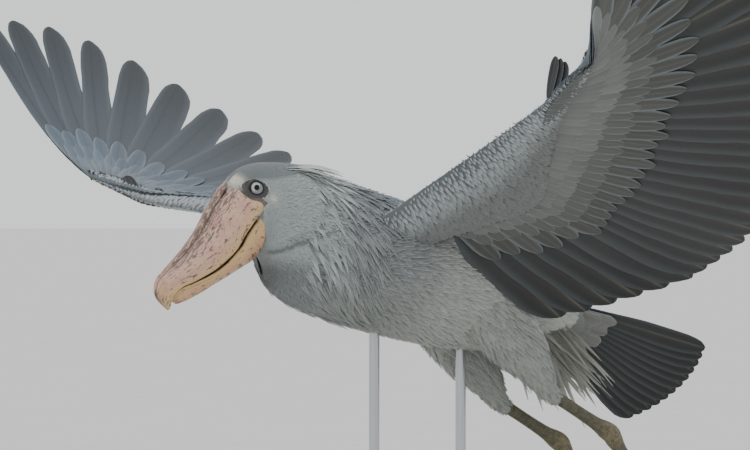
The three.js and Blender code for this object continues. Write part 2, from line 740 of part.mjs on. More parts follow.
// A toe leaves the foot joint, curls towards the sole and ends in a claw
function toe(length, spread, curl, radius) {
  const sideways = rad(spread);
  const start = onTarsus(TARSUS_LENGTH - 6);
  const stops = [0, 0.14, 0.4, 0.66, 0.84, 0.9, 1];
  const sizes = [1.15, 1, 0.86, 0.78, 0.72, 0.42, 0.1];
  let place = start.clone();
  let before = 0;
  return tube(stops.map((u, i) => {
    const bend = rad(curl * (0.35 + 0.9 * u));
    const along = tarsusAlong.clone().multiplyScalar(Math.cos(bend))
      .addScaledVector(sole, Math.sin(bend))
      .multiplyScalar(Math.cos(sideways))
      .add(V(Math.sin(sideways), 0, 0));
    place = place.clone().addScaledVector(along, (u - before) * length);
    before = u;
    return [place, radius * sizes[i]];
  }), 6);
}

function footSolid() {
  const joint = tube([
    [onTarsus(TARSUS_LENGTH - 20), ANKLE_RADIUS - 1, ANKLE_RADIUS - 2],
    [onTarsus(TARSUS_LENGTH - 4), ANKLE_RADIUS + 1, ANKLE_RADIUS - 2],
    [onTarsus(TARSUS_LENGTH + 8), ANKLE_RADIUS - 4, ANKLE_RADIUS - 6],
  ]);
  return keepAhead(join([
    joint,
    toe(MIDDLE_TOE, 2, 24, 8),
    toe(0.84 * MIDDLE_TOE, 19, 28, 7.5),
    toe(0.82 * MIDDLE_TOE, -16, 28, 7.5),
    toe(0.52 * MIDDLE_TOE, -4, 78, 7),
  ]), tarsusAlong, footCut);
}

function onSide(side, manifold) {
  return side > 0 ? manifold : manifold.mirror([1, 0, 0]);
}

// Stand, in the frame of the base
const birdPose = new THREE.Matrix4().makeTranslation(0, SHOULDER_BACK, SHOULDER_HEIGHT)
  .multiply(attitude);

function baseSolid() {
  const shape = new THREE.Shape();
  const x = BASE_WIDTH / 2 - BASE_CORNER;
  const y = BASE_LENGTH / 2 - BASE_CORNER;
  shape.absarc(x, y, BASE_CORNER, 0, Math.PI / 2);
  shape.absarc(-x, y, BASE_CORNER, Math.PI / 2, Math.PI);
  shape.absarc(-x, -y, BASE_CORNER, Math.PI, 1.5 * Math.PI);
  shape.absarc(x, -y, BASE_CORNER, 1.5 * Math.PI, 2 * Math.PI);
  const plate = new THREE.ExtrudeGeometry(shape, {
    depth: BASE_HEIGHT - 2 * BASE_EDGE, bevelThickness: BASE_EDGE, bevelSize: BASE_EDGE,
    bevelOffset: -BASE_EDGE, bevelSegments: 1, curveSegments: 4,
  });
  plate.translate(0, 0, BASE_EDGE);
  return solid(plate);
}

function rodSolid(back) {
  const rod = new THREE.CylinderGeometry(ROD_RADIUS, ROD_RADIUS, SHOULDER_HEIGHT, 20);
  rod.rotateX(Math.PI / 2);
  rod.translate(0, back, BASE_HEIGHT + GAP + SHOULDER_HEIGHT / 2);
  return solid(rod).subtract(solid(loft(bodyRings(GROW)), birdPose));
}

// The bird, turned and raised as one group, and the stand beneath it
const bird = new THREE.Group();
bird.position.set(0, SHOULDER_BACK, SHOULDER_HEIGHT);
bird.rotation.set(rad(-PITCH), rad(-ROLL), 0);

bird.add(part('head', headSolid(), PALE_PLUMAGE()));
bird.add(part('bill_upper', billSolid(UPPER_BILL, upperBillRing).subtract(nostrils()), BILL_HORN()));
bird.add(part('bill_lower', billSolid(LOWER_BILL, lowerBillRing), BILL_HORN()));
bird.add(part('neck', neckSolid(), NECK_PLUMAGE()));
bird.add(part('torso', torsoSolid(), PALE_PLUMAGE()));
bird.add(part('tail', tailSolid(), WING_PLUMAGE()));
bird.add(part('wing_left', wingSolid(1, LEFT_ARM, LEFT_FAN), WING_PLUMAGE()));
bird.add(part('wing_right', wingSolid(-1, RIGHT_ARM, RIGHT_FAN), WING_PLUMAGE()));

for (const [word, side] of [['left', 1], ['right', -1]]) {
  bird.add(part(`eye_${word}`, eyeSolid(side, EYEBALL_RADIUS), EYE_SURFACE()));
  bird.add(part(`thigh_${word}`, onSide(side, thighSolid()), PALE_PLUMAGE()));
  bird.add(part(`shank_${word}`, onSide(side, shankSolid()), LEG_SKIN()));
  bird.add(part(`tarsus_${word}`, onSide(side, tarsusSolid()), LEG_SKIN()));
  bird.add(part(`foot_${word}`, onSide(side, footSolid()), LEG_SKIN()));
}

const model = new THREE.Group();
model.add(bird);
model.add(part('stand_base', baseSolid(), STAND_PAINT()));
ROD_PLACES.forEach((back, i) => {
  model.add(part(`stand_rod_${['front', 'back'][i]}`, rodSolid(back), STAND_STEEL()));
});

export default model;
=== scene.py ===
import math

import bpy
import numpy as np
from mathutils import Matrix, Vector
from mathutils.bvhtree import BVHTree


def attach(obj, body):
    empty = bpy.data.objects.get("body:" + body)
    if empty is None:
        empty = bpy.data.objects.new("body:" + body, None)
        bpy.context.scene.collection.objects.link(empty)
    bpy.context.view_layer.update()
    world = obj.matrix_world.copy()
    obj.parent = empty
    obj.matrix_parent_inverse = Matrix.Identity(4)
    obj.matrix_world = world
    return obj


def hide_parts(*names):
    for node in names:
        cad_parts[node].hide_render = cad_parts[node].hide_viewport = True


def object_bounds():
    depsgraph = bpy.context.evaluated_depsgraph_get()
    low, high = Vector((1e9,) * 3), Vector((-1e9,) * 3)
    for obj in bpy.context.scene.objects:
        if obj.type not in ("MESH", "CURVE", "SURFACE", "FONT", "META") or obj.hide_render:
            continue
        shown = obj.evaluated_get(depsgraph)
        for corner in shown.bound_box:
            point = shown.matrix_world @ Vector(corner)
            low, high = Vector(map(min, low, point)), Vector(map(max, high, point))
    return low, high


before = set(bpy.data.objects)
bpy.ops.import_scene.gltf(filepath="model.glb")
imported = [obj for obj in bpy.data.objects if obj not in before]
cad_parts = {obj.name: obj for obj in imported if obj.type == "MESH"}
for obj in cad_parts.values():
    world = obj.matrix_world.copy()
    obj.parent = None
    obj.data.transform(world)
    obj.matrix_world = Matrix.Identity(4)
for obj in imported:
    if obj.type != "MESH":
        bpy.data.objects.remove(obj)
cad_box = [list(corner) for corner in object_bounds()]
chance = np.random.default_rng(11)


# Studio. The bird flies at eye level, seen from ahead of its left shoulder through a long lens from
# fourteen metres. The room is a plain pale floor without walls, lit by its bright air, a large soft
# light overhead and a softer one beside the camera.
VIEW_CENTRE = Vector((0.01284, -0.09356, 0.71284))
VIEW_SIDE = math.radians(38)
VIEW_DISTANCE = 14
VIEW_LENS = 436.8
ROOM_AIR, AIR_STRENGTH = "#eff1f2", 1.2
FLOOR_PAINT, FLOOR_PAINT_DARKER, FLOOR_REACH = "#efefec", "#e4e4e1", 1500
FLOOR_CLOUDS_PER_METRE = 3.0


def linear(colour):
    """An sRGB hex colour in the linear light that shaders read."""
    parts = [int(colour[i:i + 2], 16) / 255 for i in (1, 3, 5)]
    return [p / 12.92 if p <= 0.04045 else ((p + 0.055) / 1.055) ** 2.4 for p in parts] + [1]


def add(tree, kind, inputs=(), **settings):
    """Adds a node with its settings. An input is a number, a colour or another node's socket."""
    node = tree.nodes.new("ShaderNode" + kind)
    for name, value in settings.items():
        setattr(node, name, value)
    for socket, value in dict(inputs).items():
        if isinstance(value, bpy.types.NodeSocket):
            tree.links.new(value, node.inputs[socket])
        else:
            node.inputs[socket].default_value = value
    return node


def finish_material(name, **shader):
    """A new material and its surface shader, with the constant values of that finish set on it."""
    material = bpy.data.materials.new(name)
    material.use_nodes = True
    surface = material.node_tree.nodes["Principled BSDF"]
    for socket, value in shader.items():
        surface.inputs[socket.replace("_", " ")].default_value = value
    return material, material.node_tree, surface


def two_tone(name, clouds_per_metre, darker, lighter, **shader):
    """A finish of two close tones in an even cloud. Also gives its tree, shader and cloud."""
    material, tree, surface = finish_material(name, **shader)
    place = add(tree, "TexCoord")
    cloud = add(tree, "TexNoise", {"Vector": place.outputs["Object"], "Scale": clouds_per_metre,
                                   "Detail": 2.0})
    tone = add(tree, "Mix", {0: cloud.outputs["Fac"], 6: linear(darker), 7: linear(lighter)},
               data_type="RGBA")
    tree.links.new(tone.outputs[2], surface.inputs["Base Color"])
    return material, tree, surface, cloud


def soft_light(name, place, target, size, power):
    """A round lamp turned to its target. Places and size are in metres, power in watts."""
    lamp = bpy.data.lights.new(name, "AREA")
    lamp.shape, lamp.size, lamp.energy = "DISK", size, power
    light = bpy.data.objects.new(name, lamp)
    bpy.context.collection.objects.link(light)
    light.location = place
    light.rotation_euler = (Vector(target) - Vector(place)).to_track_quat("-Z", "Y").to_euler()


camera_data = bpy.data.cameras.new("camera")
camera_data.lens, camera_data.sensor_width = VIEW_LENS, 36
camera_data.clip_start, camera_data.clip_end = 0.1, 4000
camera = bpy.data.objects.new("camera", camera_data)
bpy.context.collection.objects.link(camera)
to_camera = Vector((math.cos(VIEW_SIDE), -math.sin(VIEW_SIDE), 0))
camera.location = VIEW_CENTRE + to_camera * VIEW_DISTANCE
camera.rotation_euler = (-to_camera).to_track_quat("-Z", "Y").to_euler()
bpy.context.scene.camera = camera

air = bpy.data.worlds.new("studio_air")
bpy.context.scene.world = air
air.use_nodes = True
air.node_tree.nodes["Background"].inputs["Color"].default_value = linear(ROOM_AIR)
air.node_tree.nodes["Background"].inputs["Strength"].default_value = AIR_STRENGTH
soft_light("overhead_light", place=(-0.5, -1.2, 4.2), target=(0, 0, 0.7), size=2.6, power=62)
soft_light("front_light", place=(1.5, -5.0, 2.4), target=(0, -0.1, 0.75), size=2.4, power=18)

floor_mesh = bpy.data.meshes.new("floor")
floor_mesh.from_pydata(
    [(x * FLOOR_REACH, y * FLOOR_REACH, 0) for x, y in ((-1, -1), (1, -1), (1, 1), (-1, 1))],
    [], [(0, 1, 2, 3)])
floor = bpy.data.objects.new("floor", floor_mesh)
bpy.context.collection.objects.link(floor)
# Matt floor paint, rolled on: faintly uneven in tone
paint = two_tone("floor_paint", FLOOR_CLOUDS_PER_METRE, FLOOR_PAINT, FLOOR_PAINT_DARKER, Roughness=0.9)[0]
floor_mesh.materials.append(paint)


# Flesh. One skin runs from the bill's root over the head, neck and trunk to the tail, out along both
# arms and down the thighs. It is soft warm-grey skin that the coat hides, apart from the face. Its
# sections are those of the bird's solids, drawn in by the depth of the coat.
PITCH, ROLL = 17, 8
SHOULDERS = np.array([0, -110, 700])
HEAD_PLACE = np.array([-18, -218, 9])
HEAD_TURN, BILL_DROOP = 16, 50
HEAD_SECTIONS = [
    [-42, -2, -30, -30, 20], [-33, 12, -10, -72, 37], [-14, 29, 10, -96, 45],
    [10, 37, 20, -106, 50], [38, 38, 32, -126, 55],
]
TRUNK_SECTIONS = [
    [-164, 60, -136, -129, 61, 6, -20], [-128, 64.5, -104, -145, 67, 4, -12],
    [-90, 66, -70, -148, 75, 2, -5], [-50, 66.5, -42, -147, 85, 0, 0],
    [-20, 67, -20, -146, 94, 0, 0], [10, 67.5, 10, -145, 103, 0, 0],
    [60, 67, 60, -142, 112, 0, 0], [130, 62, 130, -134, 114, 0, 0],
    [200, 54, 200, -124, 108, 0, 0], [270, 44, 270, -108, 93, 0, 0],
    [330, 34, 330, -86, 72, 0, 0], [385, 23, 385, -56, 50, 0, 0], [425, 13, 425, -30, 32, 0, 0],
]
COAT_DEPTH = [1.5, 1.5, 1.8, 2.2, 3, 4, 5, 6, 7, 7, 7, 8, 8, 8, 8, 8, 7, 6]
CHEEK_CENTRE, CHEEK_SWELL = np.array([54.0, -38.0]), 1.8
CREASE_DEPTH, CREASE_HALF_WIDTH = 4.6, 6
ARM_SKIN_DEPTH, THIGH_SKIN_DEPTH, SKIN_VOXEL = 2.5, 5, 0.0033
JAW_CREASE = [(2, -100), (34, -92), (70, -76), (104, -60), (116, -30), (112, 2), (92, 24)]


def turn(degrees, axis):
    return np.array(Matrix.Rotation(math.radians(degrees), 3, axis))


attitude = turn(-PITCH, "X") @ turn(-ROLL, "Y")
head_turn = attitude.T @ turn(-HEAD_TURN, "Z")
bill_turn = head_turn @ turn(BILL_DROOP, "X")


def placed(points):
    """From millimetres in the bird's own frame to metres where it stands in the row."""
    return (np.asarray(points, float) @ attitude.T + SHOULDERS) / 1000


def unit(vectors):
    return vectors / np.maximum(np.linalg.norm(vectors, axis=-1, keepdims=True), 1e-9)


def dot(a, b):
    return (a * b).sum(-1, keepdims=True)


def smooth(value, low, high):
    """0 below low, 1 above high and an even ease between them."""
    t = np.clip((value - low) / (high - low), 0, 1)
    return t * t * (3 - 2 * t)


def spline(values, s):
    """Values between stations, eased so that the piece has no kinks."""
    values = np.asarray(values, float)
    s = np.clip(np.asarray(s, float), 0, len(values) - 1)
    i = np.clip(s.astype(int), 0, len(values) - 2)
    t = (s - i)[..., None] if values.ndim > 1 else s - i
    a, b = values[np.maximum(i - 1, 0)], values[i]
    c, d = values[i + 1], values[np.minimum(i + 2, len(values) - 1)]
    return 0.5 * (2 * b + (c - a) * t + (2 * a - 5 * b + 4 * c - d) * t ** 2
                  + (3 * b - a - 3 * c + d) * t ** 3)


def section(top, bottom, half, frame_turn, origin):
    """Centre, rise and half breadth of a body section, in the bird's frame."""
    top, bottom = (origin + frame_turn @ np.array(p, float) for p in (top, bottom))
    return (top + bottom) / 2, (top - bottom) / 2, frame_turn @ np.array([half, 0, 0], float)


sections = [section((0, tb, tu), (0, bb, bu), half, head_turn, HEAD_PLACE)
            for tb, tu, bb, bu, half in HEAD_SECTIONS]
sections += [section((ts, tb, tu), (bs, bb, bu), half, np.eye(3), np.zeros(3))
             for tb, tu, bb, bu, half, ts, bs in TRUNK_SECTIONS]
CENTRES, RISES, SIDES = (np.array(v) for v in zip(*sections))
BODY_END = len(sections) - 1


def on_head(points):
    """Points of the bird's frame in the head's own: left, back and up from between the eyes."""
    return (points - HEAD_PLACE) @ head_turn


def line_distance(points, line):
    """Distance of flat points from a line of straight stretches."""
    best = np.full(points.shape[:-1], 1e9)
    for a, b in zip(np.array(line[:-1], float), np.array(line[1:], float)):
        along = np.clip(((points - a) @ (b - a)) / ((b - a) @ (b - a)), 0, 1)
        best = np.minimum(best, np.linalg.norm(points - a - along[..., None] * (b - a), axis=-1))
    return best


def body(s, a, out=0.0):
    """The trunk's surface: s counts sections from the face to the tail, a turns from the left side
    over the back, and out is the height over the solids."""
    s, a = np.broadcast_arrays(np.asarray(s, float), np.asarray(a, float))
    centre, rise, side = (spline(v, s) for v in (CENTRES, RISES, SIDES))
    grow = np.broadcast_to(out, s.shape)[..., None]
    arm = unit(rise) * (np.linalg.norm(rise, axis=-1, keepdims=True) + grow) * np.sin(a)[..., None]
    arm = arm + unit(side) * (np.linalg.norm(side, axis=-1, keepdims=True) + grow) * np.cos(a)[..., None]
    local = on_head(centre + arm)
    gap = line_distance(local[..., 1:], JAW_CREASE)
    from_cheek = np.linalg.norm(local[..., 1:] - CHEEK_CENTRE, axis=-1)
    ahead = smooth(gap, 0, 14) * smooth(-from_cheek, -96, -60)
    crease = CREASE_DEPTH * np.exp(-(gap / CREASE_HALF_WIDTH) ** 2) * smooth(np.cos(a) ** 2, 0.12, 0.45)
    fold = (CHEEK_SWELL * ahead * smooth(s, 1.5, 3) - crease) * smooth(local[..., 2], -98, -80)
    fold = fold * smooth(7.5 - s, 0, 1.5)
    return centre + arm + unit(arm) * fold[..., None]


def make_mesh(name, points, faces):
    """A mesh from points in the bird's frame and arrays of faces of the same number of corners."""
    mesh = bpy.data.meshes.new(name)
    points = placed(np.asarray(points, float).reshape(-1, 3)).astype(np.float32)
    mesh.vertices.add(len(points))
    mesh.vertices.foreach_set("co", points.ravel())
    counts = np.concatenate([np.full(len(f), f.shape[1]) for f in faces])
    corners = np.concatenate([f.ravel() for f in faces]).astype(np.int32)
    mesh.loops.add(len(corners))
    mesh.loops.foreach_set("vertex_index", corners)
    mesh.polygons.add(len(counts))
    mesh.polygons.foreach_set("loop_start", (np.cumsum(counts) - counts).astype(np.int32))
    mesh.update(calc_edges=True)
    mesh.validate()
    mesh.shade_smooth()
    return mesh


def show(name, mesh, material, nodes=()):
    """Puts a finished mesh in the scene as a piece of the bird."""
    piece = bpy.data.objects.new(name, mesh)
    bpy.context.collection.objects.link(piece)
    mesh.materials.append(material)
    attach(piece, "root")
    if nodes:
        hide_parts(*nodes)
    return piece


def tube_faces(stations, around):
    """Faces of a tube of rings whose ends are closed, so that it is one solid."""
    k, j = np.meshgrid(np.arange(stations - 1), np.arange(around), indexing="ij")
    nxt = (j + 1) % around
    quads = np.stack([k * around + j, k * around + nxt, (k + 1) * around + nxt,
                      (k + 1) * around + j], -1).reshape(-1, 4)
    fan = np.arange(1, around - 1)
    last = (stations - 1) * around
    caps = np.concatenate([np.stack([fan * 0, fan + 1, fan], -1),
                           np.stack([fan * 0 + last, last + fan, last + fan + 1], -1)])
    return [quads, caps]


def outwards(points, faces):
    """The same faces, turned so that the solid's volume is positive."""
    corners = [points[f[:, :3]] for f in faces]
    corners += [points[f[:, [0, 2, 3]]] for f in faces if f.shape[1] == 4]
    volume = sum(np.einsum("ij,ij->i", c[:, 0], np.cross(c[:, 1], c[:, 2])).sum() for c in corners)
    return [f[:, ::-1] for f in faces] if volume < 0 else faces


def tube_mesh(name, rings):
    """A closed solid through rings of points in the bird's frame."""
    rings = np.asarray(rings, float)
    points = rings.reshape(-1, 3)
    return make_mesh(name, points, outwards(points - points.mean(0), tube_faces(*rings.shape[:2])))


# The frame of the wings. The far wing is its mirror in build but not in pose, so each has its own
# directions: [degrees back from straight out, degrees up]. Each flight feather lies on its own line:
# [number from the tip, degrees back, degrees up, length, upward curve].
SHOULDER_HALF, HUMERUS, ULNA, HAND = 85, 205, 245, 150
PRIMARIES, SECONDARIES, TERTIALS = 10, 14, 5
FLIGHT_FEATHERS = PRIMARIES + SECONDARIES + TERTIALS
ARMS = {
    1: [(38, 20), (-34, 16), (-20, 15)],
    -1: [(20, 27), (-32, 2), (-8, 20)],
}
FANS = {
    1: [(0, -35, 60, 520, .12), (1, -3, 51, 550, .12), (2, 15, 43, 560, .12), (3, 25, 36, 555, .11),
        (5, 35, 25, 520, .1), (7, 43, 16, 480, .08), (9, 50, 9, 440, .06), (14, 63, 4, 400, .05),
        (18, 77, -2, 390, .04), (21, 87, -3, 380, .04), (24, 94, -6, 350, .04), (28, 96, -17, 285, .03)],
    -1: [(0, 3, 40, 520, .13), (1, 9, 43, 540, .13), (3, 26, 42, 550, .13), (5, 46, 38, 520, .11),
         (7, 64, 30, 480, .08), (9, 78, 24.5, 435, .06), (11, 88, 19, 410, .05), (14, 93, 14, 395, .05),
         (20, 95, 10, 375, .04), (24, 95, 8, 340, .04), (28, 92, 5, 260, .03)],
}


def direction(side, azimuth, elevation):
    """The way to a side, turned back and up by degrees."""
    a, e = np.radians(azimuth), np.radians(elevation)
    return np.stack([side * np.cos(e) * np.cos(a), np.cos(e) * np.sin(a), np.sin(e)], -1)


class Fan:
    """Feather lines side by side, counted inwards from the outermost, and the surface through them."""

    def __init__(self, side, root, azimuth, elevation, length, curve):
        self.side, self.root = side, np.asarray(root, float)
        self.along = direction(side, np.asarray(azimuth, float), np.asarray(elevation, float))
        self.length, self.curve = np.asarray(length, float), np.asarray(curve, float)
        middle = self.root + self.along * 0.6 * self.length[:, None]
        towards = np.roll(middle, 1, 0) - np.roll(middle, -1, 0)
        towards[0], towards[-1] = middle[0] - middle[1], middle[-2] - middle[-1]
        across = unit(towards - self.along * dot(towards, self.along))
        self.up = np.cross(across, self.along) * side

    def line(self, i, u):
        u = u[..., None]
        length = self.length[i][..., None]
        bend = self.up[i] * self.curve[i][..., None] * length * (u * u - u)
        return self.root[i] + self.along[i] * length * u + bend

    def at(self, t, u):
        """A point t feathers inwards and the share u of the way to their tips."""
        t, u = np.broadcast_arrays(np.asarray(t, float), np.asarray(u, float))
        i = np.clip(np.floor(t).astype(int), 0, len(self.length) - 2)
        f = (t - i)[..., None]
        return self.line(i, u) * (1 - f) + self.line(i + 1, u) * f

    def up_at(self, t, u):
        across = self.at(t - 1, u) - self.at(t + 1, u)
        i = np.clip(np.round(t).astype(int), 0, len(self.length) - 1)
        return unit(np.cross(across, self.along[i]) * self.side)


class Wing:
    """One wing: the joints of its arm, its flight feathers and its fleshed arm."""

    def __init__(self, side):
        self.side = side
        stops = [np.array([side * SHOULDER_HALF, 0, 0], float)]
        for (azimuth, elevation), length in zip(ARMS[side], (HUMERUS, ULNA, HAND)):
            stops.append(stops[-1] + direction(side, azimuth, elevation) * length)
        self.shoulder, self.elbow, self.wrist, self.tip = stops
        fan = np.array(FANS[side], float)
        number = np.arange(FLIGHT_FEATHERS)
        values = np.stack([np.interp(number, fan[:, 0], column) for column in fan.T[1:]], -1)
        for _ in range(3):
            values[1:-1] = (values[:-2] + 2 * values[1:-1] + values[2:]) / 4
        roots = []
        for i in number:
            if i < PRIMARIES:
                root = self.wrist + (self.tip - self.wrist) * (1 - 0.92 * i / (PRIMARIES - 1))
            elif i < PRIMARIES + SECONDARIES:
                f = 0.97 * (i - PRIMARIES + 0.5) / (SECONDARIES - 0.5)
                root = self.wrist + (self.elbow - self.wrist) * f
            else:
                f = 0.6 * (i - PRIMARIES - SECONDARIES + 1) / TERTIALS
                root = self.elbow + (self.shoulder - self.elbow) * f
            roots.append(root)
        self.fan = Fan(side, roots, *values.T)
        self.stations = self.arm_stations()

    def arm_stations(self):
        """Front edge, back edge, up, thickness over the bone and half thickness of the back edge."""
        side, fan = self.side, self.fan
        up = lambda i: fan.up_at(np.array(float(i)), np.array(0.0))
        behind = lambda point, i, reach: point + fan.along[i] * reach
        elbow_feather = PRIMARIES + SECONDARIES
        last = FLIGHT_FEATHERS - 1
        inside = np.array([-side * 45, 0, -4])
        front, back = self.shoulder + [0, -34, 4], self.shoulder + [0, 62, -2]
        wrist_front = behind(self.wrist, PRIMARIES, -20)
        edge = lambda f: front + (wrist_front - front) * f
        between = lambda a, b, f: a + (b - a) * f
        upper = between(self.shoulder, self.elbow, 0.45)
        forearm = between(self.elbow, self.wrist, 0.5)
        hand = between(self.wrist, self.tip, 0.5)
        rows = [
            (front + inside, back + inside, up(last), 30, 14),
            (front, back, up(last), 27, 12),
            (edge(0.26), behind(upper, last, 42), up(last), 22, 9.5),
            (edge(0.55), behind(self.elbow, elbow_feather, 30), up(elbow_feather), 19, 9),
            (edge(0.8), behind(forearm, PRIMARIES + 6, 26), up(PRIMARIES + 6), 15, 8.5),
            (wrist_front, behind(self.wrist, PRIMARIES, 26), up(PRIMARIES), 13, 8),
            (behind(hand, 5, -15), behind(hand, 5, 24), up(5), 10, 7.5),
            (behind(self.tip, 1, -9), behind(self.tip, 0, 16), up(1), 9, 7),
        ]
        return [np.array(column, float) for column in zip(*rows)]

    def arm(self, q, v, out=0.0):
        """The fleshed arm: q counts stations from the body, v runs from the front edge over the back
        of the wing to the rear edge at 0.5, and under it to the front again at 1."""
        q, v = np.broadcast_arrays(np.asarray(q, float), np.asarray(v, float))
        front, back, up, thick, rear = (spline(column, q) for column in self.stations)
        share = 1 - np.abs(1 - 2 * v)
        face = np.where(v < 0.5, 1.0, -1.0)
        hump = np.interp(share, [0, 0.05, 0.18, 0.45, 0.78, 0.93], [0.12, 0.28, 0.48, 0.72, 1, 0.85])
        to_rear = thick * 0.85 + (rear - thick * 0.85) * smooth(share, 0.93, 1)
        height = np.where(share < 0.93, thick * hump, to_rear)
        height = height * smooth(share, -0.04, 0.06) + np.broadcast_to(out, q.shape)
        return front + (back - front) * share[..., None] + unit(up) * (face * height)[..., None]


wings = {side: Wing(side) for side in (1, -1)}

# The thighs are muscle as far as the bare shank, one on each side of the belly
HIP, TIBIA_START = np.array([58, 235, -62.]), np.array([60, 372, -158.])
ANKLE = np.array([60, 498, -184.])
shank_along = unit(ANKLE - TIBIA_START)
THIGH_PLACES = [HIP + [-14, -70, 34], HIP + [-4, -20, 10], HIP + (TIBIA_START - HIP) * 0.4,
                HIP + (TIBIA_START - HIP) * 0.72, TIBIA_START - shank_along * 6,
                TIBIA_START + shank_along * 12]
THIGH_RADII = [(40, 52), (48, 62), (40, 50), (27, 31), (16, 17), (12.5, 13.5)]


def thigh(side, q, a, out=0.0):
    """The thigh's surface: q counts stations down the leg and a turns round it."""
    q, a = np.broadcast_arrays(np.asarray(q, float), np.asarray(a, float))
    place, radii = spline(THIGH_PLACES, q), spline(THIGH_RADII, q)
    along = unit(spline(THIGH_PLACES, q + 0.3) - spline(THIGH_PLACES, q - 0.3))
    out = np.broadcast_to(out, q.shape)
    across = unit(np.array([1, 0, 0]) - along * along[..., :1])
    up = np.cross(across, along)
    point = place + across * ((radii[..., 0] + out) * np.cos(a))[..., None]
    point = point + up * ((radii[..., 1] + out) * np.sin(a))[..., None]
    return point * [side, 1, 1]


def closed_grid(surface, rows, around, full=2 * math.pi):
    """Rings of a surface, as a closed solid's points and faces."""
    q, a = np.meshgrid(rows, np.arange(around) * full / around, indexing="ij")
    points = surface(q, a).reshape(-1, 3)
    return points, outwards(points - points.mean(0), tube_faces(len(rows), around))


depth = lambda s: -np.interp(s, range(len(COAT_DEPTH)), COAT_DEPTH)
flesh = [closed_grid(lambda s, a: body(s, a, depth(s)), np.linspace(0, BODY_END, 150), 96)]
for side in (1, -1):
    flesh.append(closed_grid(lambda q, a: thigh(side, q, a, -THIGH_SKIN_DEPTH),
                             np.linspace(0, 5, 40), 40))
    flesh.append(closed_grid(lambda q, v: wings[side].arm(q, v, -ARM_SKIN_DEPTH),
                             np.linspace(0, 7, 90), 44, 1.0))
points, faces, count = [], [], 0
for own_points, own_faces in flesh:
    points.append(own_points)
    faces += [f + count for f in own_faces]
    count += len(own_points)
skin_mesh = make_mesh("skin", np.concatenate(points), faces)
skin = bpy.data.objects.new("skin", skin_mesh)
bpy.context.collection.objects.link(skin)
fuse = skin.modifiers.new("fuse", "REMESH")
fuse.mode, fuse.voxel_size, fuse.use_smooth_shade = "VOXEL", SKIN_VOXEL, True
ease = skin.modifiers.new("ease", "SMOOTH")
ease.factor, ease.iterations = 0.5, 3
evaluated = skin.evaluated_get(bpy.context.evaluated_depsgraph_get())
whole_skin = bpy.data.meshes.new_from_object(evaluated)
bpy.data.objects.remove(skin)


# Colours of the coat. Body feathers are soft slate grey: paler and warmer below, bluer on the back,
# darker on the crown, almost white at the vent and before the eye.
# The skin under the coat takes the coat's colour times the first factor below: painted shade beneath the
# feathers
SHADE_UNDER_COAT, TUFTS_PER_METRE = 0.62, 420.0


def tones(colours):
    """Named sRGB hex colours in linear light."""
    return {name: np.array(linear(colour)[:3]) for name, colour in colours.items()}


COAT = tones({
    "cheek": "#a0a8a8", "crown": "#7b8283", "brow": "#dcd5c7", "neck": "#75797b", "breast": "#7c807d",
    "belly": "#989a95", "back": "#5f6a72", "vent": "#b3b3ac", "thigh": "#8d8f8a", "nape": "#b9bcba",
})


def blend(colour, other, amount):
    return colour + (other - colour) * amount[..., None]


def coat_colour(points):
    """The coat's colour at points of the bird's frame, with painted shade along the jaw's crease."""
    x, y, z = points[..., 0], points[..., 1], points[..., 2]
    local = on_head(points)
    left, back, up = np.abs(local[..., 0]), local[..., 1], local[..., 2]
    colour = np.broadcast_to(COAT["neck"], points.shape).copy()
    colour = blend(colour, COAT["breast"], smooth(-z, 40, 130) * smooth(y, -160, -60))
    colour = blend(colour, COAT["belly"], smooth(y, -10, 110))
    colour = blend(colour, COAT["back"], smooth(z - 0.02 * y, 22, 58) * smooth(y, -120, -20))
    colour = blend(colour, COAT["vent"], smooth(y, 300, 390) * smooth(-z, -10, 50))
    on_face = smooth(back, 150, 105) * smooth(y, -60, -130)
    colour = blend(colour, COAT["cheek"], on_face * smooth(up, -125, -95))
    # Painted shade: the coat darkens along the crease under the jaw
    gap = line_distance(local[..., 1:], JAW_CREASE)
    crease = np.exp(-(gap / 3.5) ** 2) * smooth(left, 18, 36) * smooth(back, 0, 25) * on_face
    colour = blend(colour, colour * 0.45, crease)
    crown = smooth(up - 0.12 * back, 8, 16) * on_face * smooth(back, 98, 70)
    colour = blend(colour, COAT["crown"], crown)
    brow = np.exp(-(((back + 29) / 10) ** 2 + ((up - 9) / 9) ** 2))
    colour = blend(colour, COAT["brow"], np.clip(1.3 * brow, 0, 1) * (left > 8))
    behind_eye = np.exp(-(((back - 18) / 7) ** 2 + ((up + 16) / 7) ** 2))
    return blend(colour, COAT["brow"], 0.7 * behind_eye * (left > 20))


def set_colours(mesh, colours):
    """Stores the coat's colours on a mesh, one for each of its points."""
    layer = mesh.color_attributes.new("Plumage", "FLOAT_COLOR", "POINT")
    rgba = np.ones((len(mesh.vertices), 4), np.float32)
    rgba[:, :3] = np.clip(colours, 0, 1).reshape(-1, 3)
    layer.data.foreach_set("color", rgba.ravel())


def store(mesh, title, values, vector=False):
    """Stores a number or a vector for each point of a mesh, for its material to read."""
    kind, key = ("FLOAT_VECTOR", "vector") if vector else ("FLOAT", "value")
    layer = mesh.attributes.new(title, kind, "POINT")
    layer.data.foreach_set(key, np.ascontiguousarray(values, np.float32).ravel())


def in_bird(mesh):
    """The points of a mesh back in millimetres in the bird's frame."""
    co = np.zeros(len(mesh.vertices) * 3, np.float32)
    mesh.vertices.foreach_get("co", co)
    return (co.reshape(-1, 3) * 1000 - SHOULDERS) @ attitude


skin_points = in_bird(whole_skin)
# The coat's colour, darkened as painted shade under the feathers
set_colours(whole_skin, coat_colour(skin_points) * SHADE_UNDER_COAT)
